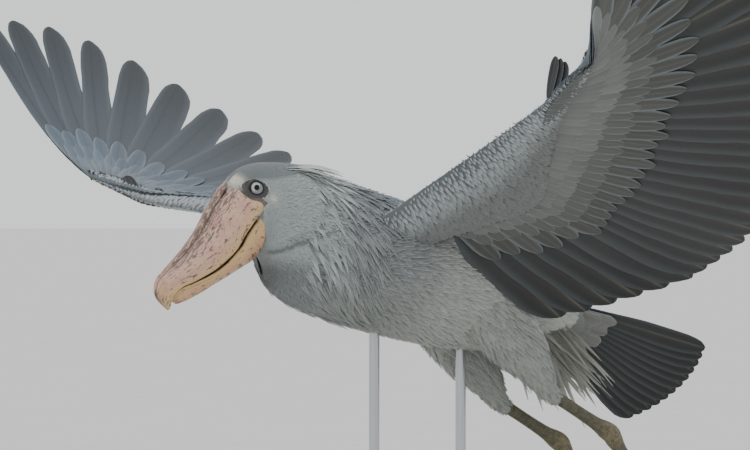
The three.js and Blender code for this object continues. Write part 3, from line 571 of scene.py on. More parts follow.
# Down over skin: matt, in tufts of two or three millimetres, seen only between the feathers
downy_skin, tree, surface = finish_material("downy_skin", Roughness=0.95)
shade = add(tree, "Attribute", attribute_name="Plumage")
place = add(tree, "TexCoord")
down = add(tree, "TexNoise", {"Vector": place.outputs["Object"], "Scale": TUFTS_PER_METRE, "Detail": 3.0})
darker = add(tree, "Mix", {0: down.outputs["Fac"], 6: shade.outputs["Color"], 7: linear("#6d7272")},
             data_type="RGBA")
bump = add(tree, "Bump", {"Height": down.outputs["Fac"], "Strength": 0.5, "Distance": 0.001})
tree.links.new(darker.outputs[2], surface.inputs["Base Color"])
tree.links.new(bump.outputs["Normal"], surface.inputs["Normal"])
show("skin", whole_skin, downy_skin,
     ["head", "neck", "torso", "thigh_left", "thigh_right"])
skin_tree = BVHTree.FromPolygons(
    [tuple(p) for p in skin_points], [tuple(f.vertices) for f in whole_skin.polygons])


# Body coat. Small contour feathers lie back over one another like shingles from the bill to the tail,
# a few millimetres long and velvety on the face, broad and soft on the belly. Each is a thin closed
# vane with a raised middle, rooted in the skin, that follows the body beneath it.
FEATHER_LENGTH = [4.2, 4.4, 4.8, 5.6, 8.5, 15, 23, 27, 31, 34, 37, 39, 40, 40, 38, 36, 34, 32]
FEATHER_WIDTH = [1.9, 2, 2.1, 2.4, 3.2, 4.4, 6, 7, 8, 8.5, 9, 9.5, 10, 10, 9.5, 9, 8.5, 8.5]
FEATHER_PROFILE = [0.45, 0.9, 1.0, 0.8, 0.16]
FACE_PROFILE = [0.6, 1.0, 0.85, 0.14]
STEP_ALONG, STEP_ACROSS = 0.2, 0.62
FEATHER_PATCH = (0.003, 0.003)
GAPE, BILL_WAY, HIDDEN_IN_BILL = np.array([15.0, -27.0]), np.array([-0.61, -0.79]), 8


def marched(surface, s, a, flow, length, stations, eps):
    """Places, outward directions and surface positions along lines that follow a flow."""
    es, ea = eps
    places, normals = [], []
    for _ in range(stations):
        here = surface(s, a)
        ds, da = (surface(s + es, a) - here) / es, (surface(s, a + ea) - here) / ea
        normal = unit(np.cross(ds, da))
        outward = surface(s, a, 1.0) - surface(s, a, 0.0)
        normal = normal * np.where(dot(normal, outward) < 0, -1, 1)
        way = unit(flow - normal * dot(flow, normal)) * (length / (stations - 1))[:, None]
        places.append(here)
        normals.append(normal)
        ss, sa, aa = dot(ds, ds), dot(ds, da), dot(da, da)
        ws, wa = dot(way, ds), dot(way, da)
        det = np.maximum(ss * aa - sa * sa, 1e-9)
        s = s + ((ws * aa - wa * sa) / det)[:, 0]
        a = a + ((wa * ss - ws * sa) / det)[:, 0]
    return np.stack(places, 1), np.stack(normals, 1)


def laid_feathers(surface, s, a, flow, length, width, root, tip, colour, patch, eps=(0.01, 0.01),
                  profile=FEATHER_PROFILE, rise=1.4):
    """Feathers on a surface. root and tip are their heights over it, patch their place on the map."""
    stations = len(profile)
    places, normals = marched(surface, s, a, flow, length, stations, eps)
    share = np.linspace(0, 1, stations)
    height = root[:, None] + (tip - root)[:, None] * share ** rise
    middle = places + normals * height[..., None]
    side = unit(np.cross(normals, np.gradient(middle, axis=1)))
    half = (width[:, None] / 2 * np.array(profile))[..., None]
    edge = middle - normals * half * 0.22
    rings = np.stack([edge + side * half, middle + normals * (0.25 + 0.05 * half), edge - side * half], 2)
    return {"rings": rings, "across": np.array([-1.0, 0, 1]), "share": share, "length": length,
            "width": width, "colour": colour[:, None, None, :], "patch": patch,
            "patch_size": FEATHER_PATCH}


def feather_piece(name, batches, material, nodes=()):
    """One mesh from many feathers, with their colours, the run of their barbs and their map."""
    points, faces, colours, across, along, barbs, maps, count = [], [], [], [], [], [], [], 0
    for b in batches:
        f, k, m, _ = b["rings"].shape
        own = b["rings"].reshape(f, k * m, 3)
        template = tube_faces(k, m)
        centred = own - own.mean(1, keepdims=True)
        tri = template[0]
        corner = [centred[:, tri[:, c]] for c in range(3)]
        if np.einsum("fij,fij->", corner[0], np.cross(corner[1], corner[2])) < 0:
            template = [t[:, ::-1] for t in template]
        start = count + np.arange(f)[:, None, None] * (k * m)
        faces += [(t[None] + start).reshape(-1, t.shape[1]) for t in template]
        count += f * k * m
        points.append(own.reshape(-1, 3))
        x = np.broadcast_to(b["across"], (f, k, m))
        y = np.broadcast_to(np.asarray(b["share"])[:, None], (f, k, m))
        size = b["length"][:, None, None], b["width"][:, None, None]
        offset = chance.uniform(0, 900, (f, 1, 1))
        across.append(x.ravel())
        along.append(y.ravel())
        barbs.append((y * size[0] - np.abs(x) * size[1] * 0.4 + offset).ravel())
        colours.append(np.broadcast_to(b["colour"], (f, k, m, 3)).reshape(-1, 3))
        spread = np.stack([(x / 2 + 0.5) * b["patch_size"][0], y * b["patch_size"][1]], -1)
        maps.append((b["patch"][:, None, None] + spread).reshape(-1, 2))
    mesh = make_mesh(name, np.concatenate(points), faces)
    mesh.set_sharp_from_angle(angle=math.radians(75))
    set_colours(mesh, np.concatenate(colours))
    for title, values in (("across", across), ("along", along), ("barb", barbs)):
        store(mesh, title, np.concatenate(values))
    corners = np.zeros(len(mesh.loops), np.int32)
    mesh.loops.foreach_get("vertex_index", corners)
    layer = mesh.uv_layers.new(name="OFBake")
    layer.uv.foreach_set("vector", np.concatenate(maps)[corners].astype(np.float32).ravel())
    return show(name, mesh, material, nodes)


def feather_material(name, fringe, fringe_share, barb_size, base_shade=0.3, roughness=0.8):
    """Feather keratin: fine slanting barbs, a base painted dark as shade under the next feather, a pale
    fringe.
    """
    material, tree, surface = finish_material(name, Roughness=roughness, Sheen_Weight=0.12,
                                              Specular_IOR_Level=0.3)
    colour = add(tree, "Attribute", attribute_name="Plumage").outputs["Color"]
    across = add(tree, "Attribute", attribute_name="across").outputs["Fac"]
    along = add(tree, "Attribute", attribute_name="along").outputs["Fac"]
    barb = add(tree, "Attribute", attribute_name="barb").outputs["Fac"]
    # Painted shade: each feather darkens towards its root, where the next one lies over it
    base = add(tree, "MapRange", {"Value": along, "From Min": 0.15, "From Max": 0.75,
                                  "To Min": base_shade, "To Max": 0.0}, interpolation_type="SMOOTHSTEP")
    dark = add(tree, "Mix", {0: base.outputs["Result"], 6: colour, 7: linear("#33383a")},
               data_type="RGBA")
    out = add(tree, "Math", {0: across}, operation="ABSOLUTE")
    rim = add(tree, "MapRange", {"Value": out.outputs[0], "From Min": 0.55, "From Max": 1.0,
                                 "To Min": 0.0, "To Max": fringe_share}, interpolation_type="SMOOTHSTEP")
    pale = add(tree, "Mix", {0: rim.outputs["Result"], 6: dark.outputs[2], 7: linear(fringe)},
               data_type="RGBA")
    stripes = add(tree, "TexNoise", {"W": barb, "Scale": 1.0 / barb_size, "Detail": 2.0},
                  noise_dimensions="1D")
    stripe = add(tree, "MapRange", {"Value": stripes.outputs["Fac"], "From Min": 0.35, "From Max": 0.65,
                                    "To Min": 0.86, "To Max": 1.1})
    barred = add(tree, "VectorMath", {0: pale.outputs[2], "Scale": stripe.outputs["Result"]},
                 operation="SCALE")
    bump = add(tree, "Bump", {"Height": stripes.outputs["Fac"], "Strength": 0.45, "Distance": 0.0006})
    tree.links.new(barred.outputs["Vector"], surface.inputs["Base Color"])
    tree.links.new(bump.outputs["Normal"], surface.inputs["Normal"])
    return material


def staggered(first, last, spacing, perimeter, across_spacing):
    """Feather roots in rows, each row half a feather aside of the one before it, a little uneven."""
    s_all, a_all, s, row = [], [], first, 0
    while s < last:
        n = max(int(perimeter(s) / across_spacing(s)), 6)
        a = (np.arange(n) + 0.5 * (row % 2) + chance.uniform(-0.25, 0.25, n)) / n
        s_all.append(np.full(n, s) + chance.uniform(-0.4, 0.4, n) * spacing(s))
        a_all.append(a)
        s += spacing(s)
        row += 1
    return np.concatenate(s_all), np.concatenate(a_all)


stations = np.arange(BODY_END + 1)
section_gap = np.linalg.norm(np.gradient(CENTRES, axis=0), axis=-1)
rise, half = np.linalg.norm(RISES, axis=-1), np.linalg.norm(SIDES, axis=-1)
girth = 2 * np.pi * np.sqrt((rise ** 2 + half ** 2) / 2)
feather_long = lambda s: np.interp(s, stations, FEATHER_LENGTH)
feather_wide = lambda s: np.interp(s, stations, FEATHER_WIDTH)
body_s, body_a = staggered(
    0.3, BODY_END - 0.1, lambda s: STEP_ALONG * feather_long(s) / np.interp(s, stations, section_gap),
    lambda s: np.interp(s, stations, girth), lambda s: STEP_ACROSS * feather_wide(s))
body_a = body_a * 2 * np.pi

# Rows spread apart under the throat and close up over the nape: fill the first and thin the second
own_gap = np.interp(body_s, stations, section_gap)
row_gap = STEP_ALONG * feather_long(body_s) / own_gap
stretch = np.linalg.norm(body(body_s + 0.01, body_a) - body(body_s, body_a), axis=-1) / 0.01 / own_gap
fill_s, fill_a = [], []
for k in range(1, 6):
    more = stretch > k + 0.15
    fill_s.append(body_s[more] + row_gap[more] * k / np.ceil(stretch[more] - 0.15))
    fill_a.append(body_a[more] + chance.normal(0, 0.5, more.sum()) * feather_wide(body_s[more]) / 60)
few = chance.uniform(0, 1, len(body_s)) < np.clip(stretch / 0.75, 0.2, 1)
body_s = np.concatenate([body_s[few]] + fill_s)
body_a = np.concatenate([body_a[few]] + fill_a)
body_roots = body(body_s, body_a)
local = on_head(body_roots)

# The face stays bare round the eye, from the bill's root, and along the gape
back, up = local[:, 1], local[:, 2]
reach_back = np.where(back < -3, 21, 17)
reach_up = np.where(up > -1, 12.5, np.where(back < 3, 23, 17))
bare = ((back + 3) / reach_back) ** 2 + ((up + 1) / reach_up) ** 2 < 1
bare &= np.abs(local[:, 0]) > 15
gape_band = line_distance(local[:, 1:], [(-20, -8), (-8, -16), (6, -25)]) < 4.5
in_bill = np.where(up > GAPE[1], (local[:, 1:] - GAPE) @ BILL_WAY > HIDDEN_IN_BILL, back < 6)
keep = ~bare & ~(gape_band & (body_s < 4.5)) & ~in_bill
body_s, body_a, body_roots = body_s[keep], body_a[keep], body_roots[keep]

# The coat flows back along the body, and down the breast and flanks
flow = np.tile([0.0, 1.0, -0.06], (len(body_s), 1))
front = smooth(-body_roots[:, 1], 40, 150)[:, None]
flow = unit(flow * (1 - 0.5 * front) + np.array([0.0, 1.0, -0.5]) * 0.5 * front)
own_way = unit(body(body_s + 0.05, body_a) - body_roots)
on_neck = smooth(-body_s, -6.5, -4.5)[:, None]
flow = unit(flow * (1 - on_neck) + own_way * on_neck)
flow += chance.normal(0, 0.07, flow.shape)
length = feather_long(body_s) * chance.uniform(0.85, 1.15, len(body_s))
width = feather_wide(body_s) * chance.uniform(0.85, 1.15, len(body_s))
coat = coat_colour(body_roots) * (1 + chance.normal(0, 0.07, len(body_s)))[:, None]
root = depth(body_s) - 0.6
loose = np.interp(body_s, [0, 4, 7, 12, 17], [0.3, 0.6, 1.4, 1.8, 2.6])
tip = -0.4 + loose * chance.uniform(-0.4, 1.0, len(body_s))
patch = np.stack([0.02 + 0.95 * body_s / BODY_END, 0.02 + 0.95 * (body_a / (2 * np.pi)) % 1.0], -1)
trunk_coat = feather_material("soft_contour_feathers", "#c9cdca", 0.35, 1.3)
face_coat = feather_material("velvet_face_feathers", "#b5bcbb", 0.25, 1.0, base_shade=0.12)
for name, first, last, profile, material in (
        ("coat_face", 0, 2.45, FACE_PROFILE, face_coat),
        ("coat_cheeks", 2.45, 3.55, FACE_PROFILE, face_coat),
        ("coat_throat", 3.55, 6, FACE_PROFILE, face_coat),
        ("coat_breast", 6, 9, FEATHER_PROFILE, trunk_coat),
        ("coat_trunk", 9, 99, FEATHER_PROFILE, trunk_coat)):
    chosen = (body_s >= first) & (body_s < last)
    feather_piece(name, [laid_feathers(
        body, body_s[chosen], body_a[chosen], flow[chosen], length[chosen], width[chosen], root[chosen],
        tip[chosen], coat[chosen], patch[chosen], profile=profile)], material)


# Wings. Ten stiff primaries fan out from each hand and nineteen shorter feathers stand behind the
# forearm and upper arm. Each vane lies over the next one towards the tip, and its quill is sunk in
# the arm. They are slate blue above and dark grey-brown below, with pale shafts.
FLIGHT_STOPS = [0, .03, .08, .14, .21, .29, .37, .45, .53, .61, .69, .76, .82, .87, .91, .945, .97, .988, 1]
FLIGHT_WIDTHS = [.08, .1, .2, .42, .66, .84, .94, 1, 1, .99, .97, .95, .93, .9, .84, .73, .58, .38, .12]
FINGER_WIDTHS = [.1, .14, .3, .6, .86, 1, 1, .98, .9, .82, .79, .78, .78, .77, .74, .67, .56, .4, .14]
OUTER_VANE, INNER_VANE, OUTERMOST_VANE = 25, 43, 15
FLIGHT_STEP, FLIGHT_THICKNESS = 1.25, 0.55
ACROSS = np.array([-1, -0.72, -0.4, -0.12, 0, 0.12, 0.4, 0.72, 1])
WING_TONES = tones({
    "flight_above": "#3c464f", "flight_above_tip": "#2a3036", "flight_below": "#2f302f",
    "flight_below_tip": "#222323", "covert_above": "#4e5b68", "covert_below": "#494a48",
    "median_above": "#576471", "median_below": "#555754", "lesser_above": "#647079",
    "lesser_below": "#6b6e6c", "edge": "#9da3a6", "shaft_above": "#1e2328", "shaft_below": "#7d786c",
    "alula": "#15181b",
})


def vanes(fan, t, first, last, widths, stops, outer, inner, lift, above, below, patch, patch_size,
          lift_tip=None, reach=1.45, camber=1.2, thickness=FLIGHT_THICKNESS, ragged=0.02, quill=0.8):
    """Vanes on a fan's surface. t, first and last say where each lies, outer and inner are its half
    widths either side of the shaft, lift its height, above and below its colours along it."""
    t = np.asarray(t, float)
    share = np.asarray(stops, float)
    u = first[:, None] + (last - first)[:, None] * share
    apart = np.linalg.norm(fan.at(t[:, None] - 1, u) - fan.at(t[:, None] + 1, u), axis=-1) / 2
    f, k, n = len(t), len(share), len(ACROSS)
    wide = np.asarray(widths) * (1 + chance.normal(0, ragged, (f, k)))
    wide[:, -1] = np.asarray(widths)[..., -1]
    half = np.where(ACROSS < 0, outer[:, None, None], inner[:, None, None]) * wide[..., None]
    limit = np.minimum(half / apart[..., None], reach)
    inwards = ACROSS * limit
    place = fan.at(t[:, None, None] + inwards, np.broadcast_to(u[..., None], (f, k, n)))
    up = fan.up_at(t[:, None], u)[:, :, None]
    lift_tip = lift if lift_tip is None else lift_tip
    height = lift + (lift_tip - lift) * share[None, :, None] - FLIGHT_STEP * inwards
    height = height + camber * (1 - ACROSS ** 2) * wide[..., None]
    ridge = np.exp(-(ACROSS / 0.1) ** 2) * 0.5 * (1 - 0.8 * share)[None, :, None]
    taper = (thickness / 2) * np.where(np.abs(ACROSS) == 1, 0.4, 1)
    top = place + up * (height + taper + ridge)[..., None]
    bottom = place + up * (height - taper - ridge)[..., None]
    rings = np.concatenate([top, bottom[:, :, ::-1]], 2)
    colour = np.empty(rings.shape)
    colour[:, :, :n], colour[:, :, n:] = above[:, :, None], below[:, :, None]
    shaft = np.exp(-(ACROSS / 0.09) ** 2)[None, None, :, None]
    for face, tone in ((slice(None, n), WING_TONES["shaft_above"]),
                       (slice(n, None), WING_TONES["shaft_below"] * 0.75)):
        colour[:, :, face] = colour[:, :, face] * (1 - quill * shaft) + tone * quill * shaft
    across = np.concatenate([ACROSS, ACROSS[::-1]])
    return {"rings": rings, "across": across, "share": share,
            "length": (last - first) * np.interp(t, np.arange(len(fan.length)), fan.length),
            "width": outer + inner, "colour": colour, "patch": patch, "patch_size": patch_size}


def shaded(base, tip, f, share, spread=0.05):
    """Colour along each feather from base to tip, each feather a little its own."""
    own = 1 + chance.normal(0, spread, (f, 1, 1))
    return (base + (tip - base) * smooth(np.asarray(share), 0.35, 1)[None, :, None]) * own


def strips(count):
    """Places of long feathers side by side on the map, and their size there."""
    place = np.stack([np.arange(count) / count + 0.003, np.full(count, 0.003)], -1)
    return place, (0.9 / count, 0.97)


flight_keratin = feather_material("flight_feather_keratin", "#6b747b", 0.22, 1.1, base_shade=0.35,
                                  roughness=0.6)
covert_keratin = feather_material("covert_feather_keratin", "#8f989e", 0.38, 1.0, base_shade=0.5,
                                  roughness=0.7)
for side, word in ((1, "left"), (-1, "right")):
    wing, number = wings[side], np.arange(FLIGHT_FEATHERS)
    widths = np.where((number < 4)[:, None], FINGER_WIDTHS, FLIGHT_WIDTHS)
    widths[4] = (np.array(FINGER_WIDTHS) + FLIGHT_WIDTHS) / 2
    patch, size = strips(FLIGHT_FEATHERS)
    f = FLIGHT_FEATHERS
    feather_piece(f"flight_feathers_{word}", [vanes(
        wing.fan, number, np.zeros(f), np.ones(f), widths, FLIGHT_STOPS,
        np.where(number == 0, OUTERMOST_VANE, OUTER_VANE) + 4.0 * (number > 9),
        np.full(f, float(INNER_VANE)) - 6.0 * (number < 4), 0.0,
        shaded(WING_TONES["flight_above"], WING_TONES["flight_above_tip"], f, FLIGHT_STOPS),
        shaded(WING_TONES["flight_below"], WING_TONES["flight_below_tip"], f, FLIGHT_STOPS),
        patch, size, quill=0.55)],
        flight_keratin)

# Coverts lie in tiers over the quills, on the back of the wing and under it: greater, median and two
# rows of lesser coverts, then the small feathers that shingle the arm itself to its pale front edge.
COVERT_STOPS = [0, .2, .4, .58, .73, .85, .93, .98, 1]
COVERT_WIDTHS = [.45, .8, .95, 1, .97, .86, .66, .4, .14]
TIERS = [
    # tone, share of the flight feather reached on the hand and on the arm, spacing, half width, heights
    ("covert", 0.36, 0.44, 1.0, 17, 3.4, 3.9), ("median", 0.245, 0.3, 0.8, 14.5, 6.0, 5.6),
    ("lesser", 0.165, 0.21, 0.7, 12.5, 8.0, 7.2), ("lesser", 0.11, 0.14, 0.62, 11, 10.0, 8.8),
]
for side, word in ((1, "left"), (-1, "right")):
    wing, batches = wings[side], []
    for row, (tier, on_hand, on_arm, spacing, half, lift, lift_tip) in enumerate(TIERS):
        for face in (1, -1):
            t = np.arange(0.5 * (row % 2) * spacing, FLIGHT_FEATHERS - 0.6, spacing)
            t = t + chance.uniform(-0.06, 0.06, len(t))
            f = len(t)
            last = on_hand + (on_arm - on_hand) * smooth(t, 0, PRIMARIES + 2)
            last = last * chance.uniform(0.95, 1.05, f)
            main = WING_TONES[f"{tier}_{'above' if face > 0 else 'below'}"]
            colour = shaded(main, main * 0.92, f, COVERT_STOPS, 0.08)
            patch = np.stack([t / 30 * 0.9 + 0.03, np.full(f, 0.1 + 0.2 * row + 0.1 * (face > 0))], -1)
            thin = face * (0.5 + 0.5 * smooth(t, 2, 11))[:, None, None]
            batches.append(vanes(
                wing.fan, t, np.full(f, -0.02), last, COVERT_WIDTHS, COVERT_STOPS,
                np.full(f, half * 0.9), np.full(f, half * 1.1), lift * thin, colour, colour, patch,
                (0.01, 0.02), lift_tip * thin, camber=1.5 * face, reach=1.3, ragged=0.03, quill=0.3))
    feather_piece(f"wing_coverts_{word}", batches, covert_keratin)

    # Small feathers of the arm
    batches = []
    for face in (1, -1):
        q, v = staggered(
            0.35, 6.8, lambda q: 6.5 / np.interp(q, range(8), [45, 60, 90, 110, 110, 80, 75, 75]),
            lambda q: np.interp(q, range(8), [98, 96, 108, 90, 75, 60, 45, 30]), lambda q: 5.4)
        v = v * 0.49 if face > 0 else 1 - v * 0.49
        arm_t = np.interp(q, range(8), [28, 28, 27, 24, 17, 10, 5, 0.5])
        along = np.stack([np.interp(arm_t, np.arange(FLIGHT_FEATHERS), column)
                          for column in wing.fan.along.T], -1)
        share = 1 - np.abs(1 - 2 * v)
        length = np.interp(share, [0, 0.12, 0.35, 1], [8, 14, 24, 33]) * chance.uniform(0.9, 1.1, len(q))
        main = WING_TONES["lesser_above"] if face > 0 else WING_TONES["lesser_below"]
        colour = blend(np.broadcast_to(WING_TONES["edge"], (len(q), 3)), main, smooth(share, 0.12, 0.5))
        colour = colour * (1 + chance.normal(0, 0.045, len(q)))[:, None]
        patch = np.stack([0.03 + 0.92 * q / 7, 0.03 + 0.92 * v], -1)
        batches.append(laid_feathers(
            lambda q, v, out=0.0: wing.arm(q, np.mod(v, 1.0), out), q, v, along, length, length * 0.42,
            np.full(len(q), -2.8), chance.uniform(0.2, 0.9, len(q)), colour, patch, eps=(0.01, 0.002)))
    feather_piece(f"arm_coverts_{word}", batches, covert_keratin,
                  [f"wing_{word}"])


# Alula. Three short stiff blackish feathers stand along the front of each thumb. They are of the same
# keratin as the flight feathers, with their quills sunk in the skin over the thumb.
ALULA_PLACES, ALULA_LENGTHS = ((0.02, 12), (0.13, 7), (0.24, 2)), [68, 60, 50]
for side, word in ((1, "left"), (-1, "right")):
    wing = wings[side]
    place = []
    across = unit(wing.fan.at(np.array(-1.0), np.array(0.1)) - wing.fan.at(np.array(0.0), np.array(0.1)))
    for share, set_back in ALULA_PLACES:
        place.append(wing.wrist + (wing.tip - wing.wrist) * share + across * set_back)
    azimuth, elevation = FANS[side][0][1:3]
    thumb = Fan(side, place, [azimuth] * 3, [elevation] * 3, ALULA_LENGTHS, [0.05] * 3)
    patch, size = strips(3)
    black = np.broadcast_to(WING_TONES["alula"], (3, len(COVERT_STOPS), 3))
    feather_piece(f"alula_{word}", [vanes(
        thumb, np.arange(3.0), np.zeros(3), np.ones(3), COVERT_WIDTHS, COVERT_STOPS, np.full(3, 11.0),
        np.full(3, 13.0), 0.0, black, black, patch, size, reach=3.0, quill=0.2)],
        flight_keratin)


# Tail. Twelve broad feathers in a narrow fan, dropped a little and rolled with its left edge up, with
# soft coverts over and under their roots. They are slate above and dark grey below.
TAIL_PLACE, TAIL_DROP, TAIL_ROLL = np.array([0, 404, -4]), 10, 38
TAIL_FEATHERS, TAIL_LENGTH, TAIL_HALF_FAN = 12, 268, 15
TAIL_STOPS = [0, .08, .18, .3, .42, .54, .66, .77, .86, .92, .96, .985, 1]
TAIL_WIDTHS = [.25, .5, .8, .95, 1, 1, 1, .98, .92, .82, .64, .4, .14]
tail_turn = turn(-TAIL_DROP, "X") @ turn(-TAIL_ROLL, "Y")


class TailFan(Fan):
    """A fan that is set in the frame of the tail."""

    def at(self, t, u):
        return super().at(t, u) @ tail_turn.T + TAIL_PLACE

    def up_at(self, t, u):
        i = np.clip(np.round(t).astype(int), 0, len(self.length) - 1)
        return np.broadcast_to(self.up[i] @ tail_turn.T, np.broadcast(t, u).shape + (3,))


def tail_fan(count, half_fan, length, back):
    share = np.linspace(1, -1, count)
    root = np.stack([20 * share, back + 0 * share, -3 * share ** 2], -1)
    return TailFan(1, root, 90 - half_fan * share, 0 * share, length * (1 - 0.06 * share ** 2),
                   0.03 + 0 * share)


steers = tail_fan(TAIL_FEATHERS, TAIL_HALF_FAN, TAIL_LENGTH, 6)
f = TAIL_FEATHERS
patch, size = strips(f)
feather_piece("tail_feathers", [vanes(
    steers, np.arange(f), np.zeros(f), np.ones(f), TAIL_WIDTHS, TAIL_STOPS, np.full(f, 17.0),
    np.full(f, 21.0), 0.0,
    shaded(WING_TONES["flight_above"], WING_TONES["flight_above_tip"], f, TAIL_STOPS),
    shaded(WING_TONES["flight_below"], WING_TONES["flight_below_tip"], f, TAIL_STOPS),
    patch, size, reach=1.7, quill=0.45)],
    flight_keratin, ["tail"])

# The tail's fleshy root is a blunt cone under the coverts
cone = []
for back, half, high, low in ((-34, 36, 24, -4), (0, 34, 20, -5), (30, 29, 13, -4), (60, 20, 4, -2)):
    a = np.arange(32) * 2 * np.pi / 32
    ring = np.stack([half * np.cos(a), np.full(32, float(back)), low + high * np.sin(a)], -1)
    cone.append(ring @ tail_turn.T + TAIL_PLACE)
cone = spline(np.reshape(cone, (4, -1)), np.linspace(0, 3, 24)).reshape(-1, 32, 3)
rump = tube_mesh("tail_root", cone)
# The coat's colour, darkened as painted shade under the coverts
set_colours(rump, coat_colour(in_bird(rump)) * SHADE_UNDER_COAT)
show("tail_root", rump, downy_skin)

batches = []
for face, length in ((1, 1.0), (-1, 0.7)):
    for row, (reach_to, lift) in enumerate(((0.46, 3.6), (0.33, 6.5), (0.22, 10.0))):
        t = np.arange(0.3 + 0.4 * row, TAIL_FEATHERS - 1, 0.8)
        f = len(t)
        main = WING_TONES["covert_above"] if face > 0 else COAT["vent"] * 0.42
        colour = shaded(main, main * 1.05, f, COVERT_STOPS, 0.08)
        patch = np.stack([t / 14 + 0.05, np.full(f, 0.1 + 0.25 * row + 0.12 * (face > 0))], -1)
        batches.append(vanes(
            steers, t, np.full(f, -0.05), reach_to * length * chance.uniform(0.85, 1.15, f),
            COVERT_WIDTHS, COVERT_STOPS, np.full(f, 11.0), np.full(f, 12.0), face * lift, colour, colour,
            patch, (0.01, 0.02), face * lift * 0.55, camber=1.5 * face, ragged=0.05, quill=0.3))
feather_piece("tail_coverts", batches, covert_keratin)


# Plumes. Long loose lanceolate feathers: a short shaggy crest at the nape, streaky plumes down the
# neck and breast, and a pale hanging brush below the vent. They have grey middles and pale fringes.
PLUME_PROFILE = [0.4, 0.75, 0.95, 1.0, 0.85, 0.55, 0.12]
CREST_FEATHERS, CREST_LENGTH = 60, 104
BREAST_FEATHERS = 620
VENT_FEATHERS, VENT_LENGTH = 300, 165
plume_down = feather_material("loose_plumes", "#c6cac7", 0.5, 1.6, base_shade=0.5, roughness=0.85)
vent_down = feather_material("vent_plumes", "#c9c8c1", 0.5, 1.6, base_shade=0.2, roughness=0.85)


def free_plumes(root, along, up, length, width, bend, colour, profile=PLUME_PROFILE):
    """Plumes that stand free of the body. bend is how far the middle bows up, as a share of length."""
    share = np.linspace(0, 1, len(profile))
    line = root[:, None] + along[:, None] * (length[:, None] * share)[..., None]
    line = line + up[:, None] * (bend[:, None] * length[:, None] * 4 * share * (1 - share))[..., None]
    side = unit(np.cross(up, along))[:, None]
    lift = unit(np.cross(np.gradient(line, axis=1), side))
    half = (width[:, None] / 2 * np.array(profile))[..., None]
    edge = line - lift * half * 0.3
    rings = np.stack([edge + side * half, line + lift * 0.45, edge - side * half], 2)
    f = len(root)
    patch = np.stack([chance.uniform(0.05, 0.9, f), chance.uniform(0.05, 0.9, f)], -1)
    return {"rings": rings, "across": np.array([-1.0, 0, 1]), "share": share, "length": length,
            "width": width, "colour": colour[:, None, None, :], "patch": patch,
            "patch_size": FEATHER_PATCH}


# Crest: in the head's own frame, fanned a little and bowed up off the neck
n = CREST_FEATHERS
share = np.linspace(1, -1, n) + chance.normal(0, 0.05, n)
layer = chance.uniform(0, 1, n)
root = np.stack([24 * share, 42 - 8 * share ** 2 + 14 * layer, 31 - 6 * share ** 2 - 3 * layer], -1)
azimuth = 90 - 14 * share + chance.normal(0, 3, n)
along = direction(1, azimuth, -4 - 3 * (1 - layer) + chance.normal(0, 2, n))
length = CREST_LENGTH * (1 - 0.35 * share ** 2) * chance.uniform(0.6, 1.06, n)
colour = COAT["nape"] * chance.uniform(0.75, 1.15, n)[:, None]
crest = free_plumes(root @ head_turn.T + HEAD_PLACE, along @ head_turn.T,
                    np.tile(head_turn @ [0, 0, 1.0], (n, 1)), length, chance.uniform(4, 7, n),
                    chance.uniform(0.05, 0.1, n), colour)
feather_piece("crest", [crest], plume_down)

# Breast plumes: they spring from the neck and shoulders, lie back and hang down the breast
n = BREAST_FEATHERS
s = chance.uniform(5.1, 8.4, n)
a = np.where(chance.uniform(0, 1, n) < 0.5, 1, 0) * math.pi
up_angle = np.radians(chance.uniform(-85, 62, n) + 6 * (8.4 - s))
a = np.where(a > 0, math.pi - up_angle, up_angle)
roots = body(s, a)
falling = smooth(np.abs(roots[:, 0]), 10, 60)
flow = np.stack([np.zeros(n), np.ones(n), -0.35 - 0.75 * falling], -1) + chance.normal(0, 0.12, (n, 3))
length = chance.uniform(42, 84, n) * np.interp(s, [4.6, 6, 8.4], [0.6, 1, 0.95])
width = chance.uniform(4.5, 8, n)
colour = coat_colour(roots) * chance.uniform(0.72, 1.18, n)[:, None]
patch = np.stack([0.02 + 0.95 * s / BODY_END, 0.02 + 0.95 * (a / (2 * np.pi)) % 1.0], -1)
feather_piece("breast_plumes", [laid_feathers(
    body, s, a, flow, length, width, np.full(n, -3.5), chance.uniform(0.8, 5.5, n), colour, patch,
    profile=PLUME_PROFILE, rise=1.2)], plume_down)

# Vent plumes: a loose pale brush that hangs back below the tail
n = VENT_FEATHERS
share = chance.uniform(-1, 1, n)
root = np.stack([32 * share, 350 + 40 * chance.uniform(-1, 1, n), -36 + 8 * chance.uniform(-1, 1, n)], -1)
along = direction(1, 90 - 10 * share + chance.normal(0, 4, n), -34 + chance.normal(0, 8, n))
length = VENT_LENGTH * (1 - 0.25 * share ** 2) * chance.uniform(0.35, 1.08, n)
colour = COAT["vent"] * chance.uniform(0.7, 1.2, n)[:, None]
feather_piece("vent_plumes", [free_plumes(
    root, along, np.tile([0, 0.5, 0.86], (n, 1)), length, chance.uniform(5, 12, n),
    chance.uniform(-0.05, 0.05, n), colour)], vent_down)

